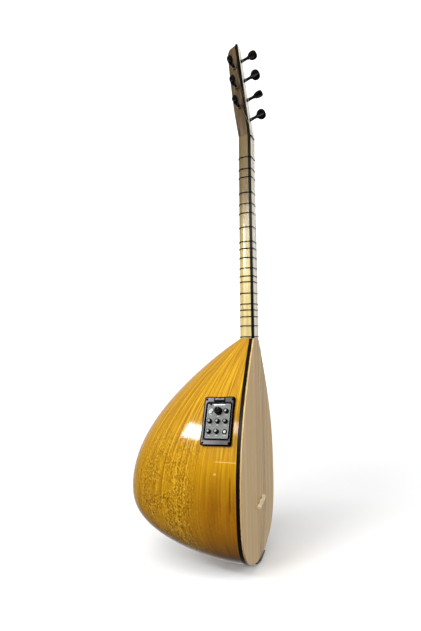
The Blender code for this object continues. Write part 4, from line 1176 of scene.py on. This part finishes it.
# The cap's profile, as shares of its radius and height, and its rings that have flutes
KNOB_PROFILE = (
    (0.0, 0.985),
    (0.45, 1.0),
    (0.74, 1.0),
    (0.86, 0.975),
    (0.92, 0.90),
    (0.94, 0.80),
    (0.965, 0.32),
    (0.97, 0.22),
    (1.0, 0.16),
    (1.0, 0.04),
    (0.96, 0.0),
)
FLUTED_RINGS = (4, 5, 6, 7)
FLUTES = 24
POINTER_SLOT = 0.00025


def make_knob(name, place, radius, height, look, highlight_look):
    """A fluted cap with a domed top, a pale spot in its middle that is a painted highlight, and a slot for
    its pointer.
    """
    foot = -SHAFT_LENGTH - FIT
    profile = [(share * radius, rise * height) for share, rise in KNOB_PROFILE]
    profile += [(SHAFT_RADIUS, 0.0), (SHAFT_RADIUS, foot), (0.0, foot)]
    matrix = on_preamp(place, PANEL_FACE + FIT)
    cap = turned(f"{name}_cap", profile, matrix, 4 * FLUTES, FLUTES, 0.055 * radius, FLUTED_RINGS)
    low = (-POINTER_SLOT, 0.30 * radius, height - 0.0003)
    carve(cap, [box("pointer", low, (POINTER_SLOT, 1.2 * radius, height + CUT_MARGIN), matrix)])
    dress(cap, look, "black_plastic", name, sharp=50)
    cap.data.materials.append(highlight_look)
    # Painted highlight: a pale disc on the top for the light on a glossy knob
    for face in cap.data.polygons:
        spot = matrix.inverted() @ face.center
        if spot.z > 0.9 * height and spot.xy.length < 0.36 * radius:
            face.material_index = 1
    return cap


def make_pointer(name, place, radius, height, look):
    """A light line in the slot on a knob's top."""
    half = 0.00022
    low = (-half, 0.32 * radius, height - 0.00028)
    high = (half, 0.90 * radius, height - 0.00008)
    line = box(f"{name}_pointer", low, high, on_preamp(place, PANEL_FACE + FIT))
    return dress(line, look, "white_plastic", body=NODES[name]["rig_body"])


def make_button(name, outline, look, slot):
    cap = prism(f"{name}_cap", outline, PANEL_FACE - BUTTON_STEM, PANEL_FACE + BUTTON_PROUD, PREAMP)
    dress(cap, look, slot, name)
    return soften(cap, 0.0005)


def make_display(look):
    outline = rounded_rectangle(DISPLAY_WIDTH, DISPLAY_HEIGHT, 0.0005, DISPLAY_PLACE)
    low = PANEL_FACE - DISPLAY_THICKNESS - FIT
    window = prism("display_glass", outline, low, low + DISPLAY_THICKNESS, PREAMP)
    dress(window, look, "white_plastic", "display_window")
    return soften(window, 0.00015, 2)


LATCH_CREST = 0.0008
LATCH_RIBS = 4


def make_latch(look, crest_look):
    """A thumb tab in its pocket at the top of the frame, with fine ribs to push it by, their crests light
    grey.
    """
    foot = PANEL_HEIGHT / 2 + LATCH_GAP
    end = FRAME_HEIGHT / 2 - FIT
    floor = FRAME_PROUD - LATCH_POCKET + FIT
    top = floor + LATCH_THICKNESS
    side = [(foot, floor), (end, floor), (end, top), (mix(foot, end, 0.06), top), (foot, top - 0.0005)]
    matrix = ALONG_PREAMP @ Matrix.Translation((0, 0, -LATCH_WIDTH / 2))
    tab = prism("latch_tab", side, 0.0, LATCH_WIDTH, matrix)
    first = mix(foot, end, 0.74)
    last = mix(foot, end, 0.40)
    root = top - LATCH_CREST / 2
    crest = top + LATCH_CREST
    ribs = [(first, root)]
    for i in range(LATCH_RIBS):
        start, finish = (mix(first, last, (i + step) / LATCH_RIBS) for step in (0, 1))
        ribs += [(mix(start, finish, share), crest) for share in (0.25, 0.65)] + [(finish, top + 0.0002)]
    ribs[-1] = (last, root)
    margin = 0.11 * LATCH_WIDTH
    carve(tab, [prism("ribs", ribs, margin, LATCH_WIDTH - margin, matrix)], "UNION")
    dress(tab, look, "black_plastic", "door_latch")
    tab.data.materials.append(crest_look)
    for face in tab.data.polygons:
        if (PREAMP.inverted() @ face.center).z > top + 0.0001:
            face.material_index = 1
    return soften(tab, 0.00012, 2)


def make_battery(look):
    battery = battery_block("battery_cell", 0.0, 0.0)
    dress(battery, look, "battery_skin", "battery")
    return soften(battery, 0.0012)


def make_jack(look):
    """An end-pin socket: flange outside the wall, nut inside it, and a blind bore for the plug."""
    barrel = JACK_BARREL_RADIUS
    bore = JACK_BORE_RADIUS
    flange = JACK_FLANGE_RADIUS
    inside = BOWL_WALL + 2 * FIT
    rim = 0.0022
    profile = [(0.0, JACK_LENGTH), (0.75 * barrel, JACK_LENGTH), (0.75 * barrel, 0.72 * JACK_LENGTH)]
    profile += [(barrel, 0.72 * JACK_LENGTH), (barrel, inside + rim), (0.85 * flange, inside + rim)]
    profile += [(0.85 * flange, inside), (barrel, inside), (barrel, -FIT), (flange, -FIT)]
    profile += [(flange, -0.0014), (0.85 * flange, -rim), (bore + 0.0006, -rim), (bore, -0.0016)]
    profile += [(bore, 0.88 * JACK_LENGTH), (0.0, 0.88 * JACK_LENGTH)]
    socket = turned("jack_socket", profile, JACK, 64)
    dress(socket, look, "jack_steel", "output_jack")
    return soften(socket, 0.0002, 2)


# Finishes. Their nodes work in metres, in the instrument's own frame

def tint(code):
    """A linear colour from a hex code as a screen shows it."""
    channels = [int(code[i : i + 2], 16) / 255 for i in (0, 2, 4)]
    linear = [c / 12.92 if c <= 0.04045 else ((c + 0.055) / 1.055) ** 2.4 for c in channels]
    return (*linear, 1.0)


GLASSY = 1.5


class Look:
    """A Principled material and short ways to add its nodes. A colour is a hex code or a node's output."""

    def __init__(self, name, metallic=0.0, coat=0.0, coat_roughness=0.05, specular=0.5):
        self.material = bpy.data.materials.new(name)
        self.material.use_nodes = True
        self.tree = self.material.node_tree
        self.shader = self.tree.nodes["Principled BSDF"]
        sockets = ("Metallic", "Coat Weight", "Coat Roughness", "Specular IOR Level", "IOR")
        for socket, value in zip(sockets, (metallic, coat, coat_roughness, specular, GLASSY)):
            self.shader.inputs[socket].default_value = value
        self.coordinates = self.add("TexCoord").outputs

    def join(self, value, socket):
        if isinstance(value, bpy.types.NodeSocket):
            self.tree.links.new(value, socket)
        else:
            socket.default_value = tint(value) if isinstance(value, str) else value

    def add(self, kind, inputs=(), **settings):
        made = self.tree.nodes.new("ShaderNode" + kind)
        for name, value in settings.items():
            setattr(made, name, value)
        for name, value in dict(inputs).items():
            self.join(value, made.inputs[name])
        return made

    def parts(self, vector=None):
        """The three parts of a vector, or of the place in metres."""
        return self.add("SeparateXYZ", {0: vector or self.coordinates["Object"]}).outputs

    def noise(self, scale, detail=2.0, roughness=0.5, distortion=0.0, source=None):
        """Noise whose coordinates are in metres times the scale."""
        source = source or self.coordinates["Object"]
        placed = self.add("Mapping", {"Vector": source, "Scale": scale}).outputs[0]
        inputs = {"Vector": placed, "Scale": 1.0, "Detail": detail, "Roughness": roughness}
        inputs["Distortion"] = distortion
        return self.add("TexNoise", inputs).outputs["Fac"]

    def ramp(self, value, *stops):
        made = self.add("ValToRGB", {"Fac": value})
        points = made.color_ramp.elements
        while len(points) < len(stops):
            points.new(0.5)
        for point, (position, code) in zip(points, stops):
            point.position = position
            point.color = tint(code)
        return made.outputs[0]

    def blend(self, share, first, second, how="MIX"):
        made = self.add("Mix", {}, data_type="RGBA", blend_type=how)
        for number, value in ((0, share), (6, first), (7, second)):
            self.join(value, made.inputs[number])
        return made.outputs[2]

    def maths(self, how, first, second=0.0):
        return self.add("Math", {0: first, 1: second}, operation=how).outputs[0]

    def times(self, first, second):
        return self.maths("MULTIPLY", first, second)

    def vectors(self, how, first, second=(0.0, 0.0, 0.0)):
        return self.add("VectorMath", {0: first, 1: second}, operation=how).outputs

    def between(self, value, low, high, new_low, new_high):
        """The value carried from one range to another, clamped."""
        inputs = {0: value, 1: low, 2: high, 3: new_low, 4: new_high}
        return self.add("MapRange", inputs).outputs[0]

    def tinge(self, colour, code, value, low, high, new_low, new_high, how="MIX"):
        """The colour blended with another by the value carried from one range to another."""
        return self.blend(self.between(value, low, high, new_low, new_high), colour, code, how)

    def near(self, value, centre, core, edge):
        """One within the core's distance of the centre, fading to nothing at the edge's."""
        away = self.maths("ABSOLUTE", self.maths("SUBTRACT", value, centre))
        return self.between(away, core, edge, 1.0, 0.0)

    def finish(self, colour, wear, low, high, height=None, distance=0.0001, strength=1.0):
        """Joins up the colour, the roughness that the wear carries from low to high, and the bump."""
        self.join(colour, self.shader.inputs["Base Color"])
        self.join(self.between(wear, 0.3, 0.7, low, high), self.shader.inputs["Roughness"])
        if height:
            bump = self.add("Bump", {"Height": height, "Distance": distance, "Strength": strength})
            self.join(bump.outputs[0], self.shader.inputs["Normal"])
        return self.material


RIB_WIDTH = 0.0589
RIB_SHIFT = 7.3
# Places of three small marks, in metres round the bowl from the rim and up from the tail
SCRATCH_ALONG = 0.3739
NICK = (0.0302, 0.3522)
DARK_LINE = (0.0101, 0.318)


def bowl_look():
    """Golden lacquered ribs whose streaks run from the neck to the tail and fan out between them."""
    look = Look("golden_bowl_wood", coat=1.0, coat_roughness=0.11, specular=0.02)
    layer = look.parts(look.add("UVMap", uv_map="meridians").outputs[0])
    around, along = layer[0], layer[1]
    rib_place = look.maths("DIVIDE", around, RIB_WIDTH)
    rib = look.maths("FLOOR", rib_place)
    chance = look.add("TexWhiteNoise", {"W": rib}, noise_dimensions="1D").outputs["Value"]
    ribs = look.add("CombineXYZ", {0: around, 1: along, 2: look.times(rib, RIB_SHIFT)}).outputs[0]
    broad = look.noise((55, 2.0, 1), source=ribs)
    streaks = look.noise((360, 8.0, 1), 4, 0.62, 0.15, ribs)
    lines = look.noise((210, 4, 1), 3, 0.65, source=ribs)
    golds = ((0.33, "7C5204"), (0.43, "A27206"), (0.50, "B8870B"), (0.58, "CA9C12"), (0.70, "E0B52C"))
    colour = look.ramp(streaks, *golds)
    colour = look.tinge(colour, "9C6A08", broad, 0.36, 0.60, 0.24, 0.0)
    colour = look.tinge(colour, "6A4404", lines, 0.35, 0.41, 0.5, 0.0)
    colour = look.tinge(colour, "8E5F0A", chance, 0.0, 1.0, 0.05, 0.26)

    # Calmer and darker toward the tail and the rim; the darkening toward the tail is partly painted shade
    calm = look.between(along, 0.36, 0.46, 0.55, 0.0)
    colour = look.blend(look.times(calm, look.between(around, 0.05, 0.09, 1.0, 0.45)), colour, "B4840E")
    dusk = look.times(look.between(along, 0.30, 0.37, 0.60, 0.0), look.between(around, 0.04, 0.08, 1.0, 0.15))
    colour = look.blend(dusk, colour, "A87020", "MULTIPLY")
    # Partly painted shade: darker toward the tail, standing in for the weaker light low on the bowl
    colour = look.tinge(colour, "7A4808", along, 0.06, 0.30, 0.50, 0.0, "MULTIPLY")
    dark = look.times(look.between(along, 0.10, 0.26, 0.35, 0.0), look.between(around, 0.04, 0.08, 1.0, 0.0))
    colour = look.blend(dark, colour, "5A3A10", "MULTIPLY")

    # Flecks in a band behind the preamp
    fleck = look.noise((460, 460, 250), 3, 0.7, 0.5)
    cloud = look.noise((30, 30, 22), 3, 0.6)
    band = look.between(around, 0.045, 0.08, 0.10, 1.0)
    band = look.times(band, look.between(around, 0.14, 0.19, 1.0, 0.35))
    figured = look.times(look.between(along, 0.34, 0.46, 1.0, 0.12), band)
    figured = look.times(figured, look.between(cloud, 0.30, 0.52, 0.15, 1.0))
    colour = look.blend(look.times(look.between(fleck, 0.44, 0.51, 0.78, 0.0), figured), colour, "5A3804")
    colour = look.blend(look.times(look.between(fleck, 0.55, 0.61, 0.0, 0.40), figured), colour, "E6BC54")

    # A scratch, a nick, a dark line of grain and the seams between the ribs
    level = look.near(along, SCRATCH_ALONG, 0.0004, 0.0011)
    colour = look.blend(look.times(level, look.between(around, 0.029, 0.034, 0.42, 0.0)), colour, "F0D080")
    nick = look.times(look.near(along, NICK[1], 0.0010, 0.0024), look.near(around, NICK[0], 0.0010, 0.0024))
    colour = look.blend(look.times(nick, 0.35), colour, "F0D080")
    line = look.near(around, DARK_LINE[0], 0.0004, 0.0010)
    line = look.times(line, look.near(along, DARK_LINE[1], 0.024, 0.032))
    colour = look.blend(look.times(line, 0.7), colour, "4A2E06")
    seam = look.maths("ABSOLUTE", look.maths("SUBTRACT", look.maths("FRACT", rib_place), 0.5))
    colour = look.tinge(colour, "5A370B", seam, 0.491, 0.497, 0.0, 0.55)
    return look.finish(colour, lines, 0.42, 0.30, look.noise((22, 22, 14)), 0.0012, 0.30)


def spruce_look():
    """Pale straight-grained spruce, its rings standing upright, with a few browner ones."""
    look = Look("soundboard_spruce", coat=0.15, coat_roughness=0.3, specular=0.15)
    rings = look.noise((820, 820, 3))
    bands = look.noise((95, 95, 1.4), 3, 0.6)
    fibres = look.noise((2400, 2400, 60))
    colour = look.ramp(bands, (0.30, "BC9860"), (0.50, "C9A972"), (0.70, "D4B984"))
    colour = look.tinge(colour, "A07E55", rings, 0.42, 0.62, 0.0, 0.40)
    colour = look.tinge(colour, "8E6F4A", fibres, 0.40, 0.60, 0.16, 0.0)
    streaks = look.between(look.noise((230, 230, 1.1), 2, 0.6), 0.54, 0.62, 0.0, 0.5)
    streaks = look.times(streaks, look.between(look.parts()[0], -0.03, 0.05, 0.15, 1.0))
    colour = look.blend(streaks, colour, "7E5C38")
    return look.finish(colour, fibres, 0.50, 0.38, rings, 0.00008, 0.5)


def pale_wood_look(name, light, middle, dark, coat, upper=None):
    """Fine-pored pale wood with its grain along the neck, darker toward the head where upper is given: partly
    its tone, partly painted shade.
    """
    look = Look(name, coat=coat, coat_roughness=0.08)
    grain = look.noise((210, 210, 4), 4, 0.6, 0.3)
    pores = look.noise((1500, 1500, 45), 2, 0.6)
    colour = look.ramp(grain, (0.32, dark), (0.50, middle), (0.66, light))
    colour = look.tinge(colour, middle, look.noise((26, 26, 9)), 0.35, 0.65, 0.35, 0.0)
    colour = look.tinge(colour, dark, pores, 0.34, 0.46, 0.35, 0.0)
    if upper:
        # Partly painted shade: darker toward the head, as if less lit up there
        colour = look.tinge(colour, upper, look.parts()[2], 0.54, 0.68, 0.0, 0.95)
    return look.finish(colour, grain, 0.40, 0.30, pores, 0.00006, 0.4)


def black_wood_look():
    """Black-stained hardwood with a trace of brown grain."""
    look = Look("black_binding_wood", coat=0.1, coat_roughness=0.18, specular=0.15)
    grain = look.noise((600, 600, 14), 3, 0.6)
    colour = look.ramp(grain, (0.35, "040302"), (0.62, "0E0907"), (0.80, "1C120B"))
    return look.finish(colour, grain, 0.34, 0.46, grain, 0.00008, 0.5)


def peg_look():
    look = Look("polished_black_pegs", coat=0.18, coat_roughness=0.12, specular=0.06)
    grain = look.noise((500, 90, 500), 3, 0.6)
    colour = look.ramp(grain, (0.40, "020202"), (0.75, "0B0807"))
    return look.finish(colour, grain, 0.26, 0.40, grain, 0.00006, 0.4)


def fret_look():
    """Dark nylon line, a little brown where it thins."""
    look = Look("nylon_line", specular=0.15)
    cloud = look.noise((900, 900, 900))
    return look.finish(look.ramp(cloud, (0.35, "050302"), (0.65, "0E0906")), cloud, 0.35, 0.50)


def steel_look(name, dark, light, roughness, ring_scale, metallic=1.0):
    look = Look(name, metallic=metallic)
    rings = look.noise((ring_scale, ring_scale, ring_scale * 2.5))
    colour = look.ramp(rings, (0.35, dark), (0.65, light))
    return look.finish(colour, rings, roughness, roughness + 0.14, rings, 0.00002, 0.4)


def plastic_look(name, dark, light, low, high, coat=0.0, specular=0.25, edge=None, lit_side=None):
    """Moulded plastic with a fine cast texture.

    An edge colour, painted shade as if in shadow, goes on what doesn't face out of the preamp, and a
    lit-side colour, painted light, on the side away from the soundboard.
    """
    look = Look(name, coat=coat, coat_roughness=0.12, specular=specular)
    cast = look.noise((2600, 2600, 2600), 2, 0.6)
    wear = look.noise((140, 140, 140), 4, 0.65)
    colour = look.ramp(wear, (0.35, dark), (0.68, light))
    if lit_side:
        # Painted light: lighter on the side away from the soundboard
        offset = look.vectors("SUBTRACT", look.coordinates["Object"], PREAMP_ORIGIN)[0]
        sideways = look.vectors("DOT_PRODUCT", offset, PREAMP_X)["Value"]
        colour = look.tinge(colour, lit_side, sideways, -0.026, 0.010, 1.0, 0.0)
    if edge:
        # Painted shade: faces that don't face out of the preamp go dark as if in shadow
        facing = look.vectors("DOT_PRODUCT", look.coordinates["Normal"], PREAMP_Z)["Value"]
        colour = look.tinge(colour, edge, facing, 0.80, 0.97, 1.0, 0.0)
    return look.finish(colour, wear, low, high, cast, 0.00004, 0.55)


def battery_look():
    """A plain foil wrap, dark with a lighter band at one end."""
    look = Look("battery_wrap", coat=0.3, coat_roughness=0.2)
    cloud = look.noise((120, 120, 120), 3, 0.6)
    band_start = PREAMP_ORIGIN.z + 0.004
    band = look.between(look.parts()[2], band_start, band_start + 0.0005, 0.0, 1.0)
    wrap = look.ramp(cloud, (0.35, "25262B"), (0.65, "34363C"))
    top = look.ramp(cloud, (0.35, "7C6238"), (0.65, "947845"))
    return look.finish(look.blend(band, wrap, top), cloud, 0.30, 0.42, cloud, 0.0001, 0.4)


# Assembly

FRET_COUNT = 19


def dress_woods(black_wood, face_wood):
    """The neck, head and strip woods. The head's front takes the fingerboard's veneer."""
    make_neck(pale_wood_look("neck_maple", "D8C68A", "C4B076", "9C8852", 0.4, upper="5E4D2A"))
    # The head's dark browns are partly painted shade, darkening its side as if it stood in shade
    head = make_headstock(pale_wood_look("head_wood_and_painted_shade", "665030", "503D22", "362814", 0.3))
    for name in ("fingerboard", "binding_bass", "binding_treble", "nut"):
        NODES[name].data.materials.clear()
        NODES[name].data.materials.append(face_wood if name == "fingerboard" else black_wood)
    head.data.materials.append(face_wood)
    for face in head.data.polygons:
        if face.normal.y < -0.9 and face.center.y < head_face(face.center.z) + FIT:
            face.material_index = 1


def string_the_pegs():
    """The first strings go to the side pegs, the rest to the front ones."""
    wound = steel_look("wound_string", "A29D90", "C4C0B4", 0.30, 1800, 0.6)
    plain = steel_look("plain_string", "AEACA6", "CCCAC4", 0.20, 900, 0.6)
    front_pegs = len(FRONT_PEG_TURNS)
    side_pegs = len(SIDE_PEG_TURNS)
    for number, radius in enumerate(STRING_RADII):
        look = wound if radius > min(STRING_RADII) else plain
        if number < side_pegs:
            make_string(number, PEGS[front_pegs + number][1], number, look)
        else:
            make_string(number, PEGS[number - side_pegs][1], None, look)


def make_preamp():
    black = plastic_look("black_controls", "010101", "040404", 0.34, 0.48, 0.02, 0.06)
    black_trim_and_shade = plastic_look("black_trim_and_painted_shade", "010101", "020202", 0.7, 0.85, specular=0.02)
    white = plastic_look("white_controls", "A6A8A2", "BCBEB8", 0.28, 0.40, 0.2)
    # Light grey for pointers and latch crests, and a painted highlight on the small knobs' tops
    grey_and_highlight = plastic_look("grey_tops_and_painted_knob_highlights", "7A7C78", "A0A29C", 0.34, 0.48, 0.05)
    greys = ("preamp_surround_plastic", "484348", "565056", 0.38, 0.52)
    # The frame's lighter left side and black side faces are painted light and painted shade
    make_preamp_frame(plastic_look(*greys, edge="030303", lit_side="7C777C"))
    # A black band of painted shade round the frame, in the same black as the notch button's ring
    make_frame_shade_band(black_trim_and_shade)
    make_screws(steel_look("blackened_screws", "040405", "0C0C0D", 0.40, 900))
    make_control_panel(plastic_look("preamp_panel_plastic", "646664", "747673", 0.38, 0.50))
    make_panel_trim(black_trim_and_shade)
    make_panel_marks(plastic_look("printed_marks_and_edge_highlight", "B9BBB9", "CCCECC", 0.45, 0.60))
    knobs = [("volume_knob", VOLUME_PLACE, VOLUME_RADIUS, VOLUME_HEIGHT, black)]
    knobs += [(name, GRID[key], KNOB_RADIUS, KNOB_HEIGHT, grey_and_highlight) for name, key in KNOBS.items()]
    for *knob, highlight_look in knobs:
        make_knob(*knob, black, highlight_look)
        make_pointer(*knob, grey_and_highlight)
    for name, outline in BUTTONS.items():
        tuner = name == "tuner_button"
        make_button(name, outline, black if tuner else white, "black_plastic" if tuner else "white_plastic")
    make_display(plastic_look("display_face", "E2E6E6", "F4F6F6", 0.15, 0.22, 0.6))
    make_latch(black, grey_and_highlight)
    make_battery(battery_look())


def make_everything():
    black_wood = black_wood_look()
    face_wood = pale_wood_look("fingerboard_wood", "F6EFDE", "EAE0CA", "CDBF9F", 0.3)
    make_bowl(bowl_look())
    make_soundboard(spruce_look())
    make_rim_band(black_wood)
    make_string_holder(black_wood)
    make_bridge(pale_wood_look("bridge_maple", "FBF0D4", "F4E6C2", "DCC79A", 0.2))
    dress_woods(black_wood, face_wood)
    fret_line = fret_look()
    for number in range(1, FRET_COUNT + 1):
        make_fret(number, fret_line)
    peg_black = peg_look()
    for peg in PEGS:
        make_peg(*peg, peg_black)
    string_the_pegs()
    make_preamp()
    make_jack(steel_look("plated_socket", "B9B7B2", "DEDCD7", 0.12, 300))


make_everything()


# Studio

def area_light(name, place, target, size, power, mirrored=False):
    """A rectangular lamp. Only a mirrored one shows in the gloss of the finishes."""
    light = bpy.data.lights.new(name, "AREA")
    light.shape = "RECTANGLE"
    light.size, light.size_y = size
    light.energy = power
    lamp = bpy.data.objects.new(name, light)
    lamp.location = place
    lamp.rotation_mode = "QUATERNION"
    lamp.rotation_quaternion = (Vector(target) - Vector(place)).to_track_quat("-Z", "Y")
    lamp.visible_glossy = mirrored
    bpy.context.scene.collection.objects.link(lamp)


FLOOR_RADIUS = 4.0
FLOOR_BEND = 1.5
WALL_HEIGHT = 5.0
WHITE = (1.0, 1.0, 1.0, 1.0)


def make_floor():
    """A white dish of floor and wall, which takes the instrument's shadow and isn't mirrored in it."""
    flat = FLOOR_RADIUS - FLOOR_BEND
    profile = [(0.0, 0.0), (flat, 0.0)]
    for i in range(1, 17):
        angle = math.pi / 2 * i / 16
        profile.append((flat + FLOOR_BEND * math.sin(angle), FLOOR_BEND - FLOOR_BEND * math.cos(angle)))
    profile.append((FLOOR_RADIUS, WALL_HEIGHT))
    dish = turned("floor_and_wall", profile, Matrix.Translation((0, 0, -0.0002)), 96)
    shape = bmesh.new()
    shape.from_mesh(dish.data)
    rim = [face for face in shape.faces if len(face.verts) > 4]
    bmesh.ops.delete(shape, geom=rim, context="FACES_ONLY")
    bmesh.ops.reverse_faces(shape, faces=shape.faces)
    shape.to_mesh(dish.data)
    shape.free()
    look = Look("white_studio_floor", specular=0.0)
    cloud = look.noise((3, 3, 3))
    distance = look.vectors("LENGTH", look.coordinates["Object"])["Value"]
    glow = look.between(distance, 0.0, 2.2, 0.07, 0.60)
    glow = look.maths("ADD", glow, look.between(distance, 2.2, 3.4, 0.0, 0.45))
    look.join(WHITE, look.shader.inputs["Emission Color"])
    look.join(glow, look.shader.inputs["Emission Strength"])
    colour = look.ramp(cloud, (0.3, "E6E6E6"), (0.7, "E9E9E9"))
    dish.data.materials.append(look.finish(colour, cloud, 0.9, 0.95))
    dish.data.shade_smooth()
    dish.visible_diffuse = False
    dish.visible_glossy = False
    dish.visible_shadow = False


# How the sky's strength changes along an axis: axis, two places on it, and the strength at each
SKY_PARTS = ((2, 0.0, 1.0, 0.08, 0.50), (2, -1.0, -0.3, 0.12, 0.0), (0, 0.35, 1.0, 0.0, 0.75))


def make_sky():
    """A dim pale sky, brighter overhead, below and on the far side of the instrument."""
    world = bpy.data.worlds.new("pale_sky")
    world.use_nodes = True
    tree = world.node_tree
    facing = tree.nodes.new("ShaderNodeTexCoord")
    parts = tree.nodes.new("ShaderNodeSeparateXYZ")
    tree.links.new(facing.outputs["Generated"], parts.inputs[0])
    total = None
    for axis, *values in SKY_PARTS:
        spread = tree.nodes.new("ShaderNodeMapRange")
        for socket, value in zip(spread.inputs[1:5], values):
            socket.default_value = value
        tree.links.new(parts.outputs[axis], spread.inputs[0])
        if total is None:
            total = spread.outputs[0]
            continue
        adding = tree.nodes.new("ShaderNodeMath")
        tree.links.new(total, adding.inputs[0])
        tree.links.new(spread.outputs[0], adding.inputs[1])
        total = adding.outputs[0]
    background = tree.nodes["Background"]
    tree.links.new(total, background.inputs["Strength"])
    background.inputs["Color"].default_value = WHITE
    bpy.context.scene.world = world


def make_studio():
    make_floor()
    make_sky()
    middle = (0.0, 0.1, 0.4)
    area_light("key", (-1.5, 0.5, 2.4), middle, (1.3, 1.3), 25)
    area_light("front", (-2.3, 1.0, 1.05), middle, (0.8, 0.8), 38)
    area_light("fill", (-0.5, -2.4, 1.3), middle, (1.3, 1.3), 42)
    window = (-0.10, 0.10, 0.25)
    area_light("left_window", (-0.727, 0.854, 0.754), window, (0.35, 0.18), 5.0, mirrored=True)
    area_light("right_window", (-0.93, 0.28, 0.82), window, (0.80, 0.15), 3.4, mirrored=True)


make_studio()
bpy.context.scene.view_settings.view_transform = "Standard"
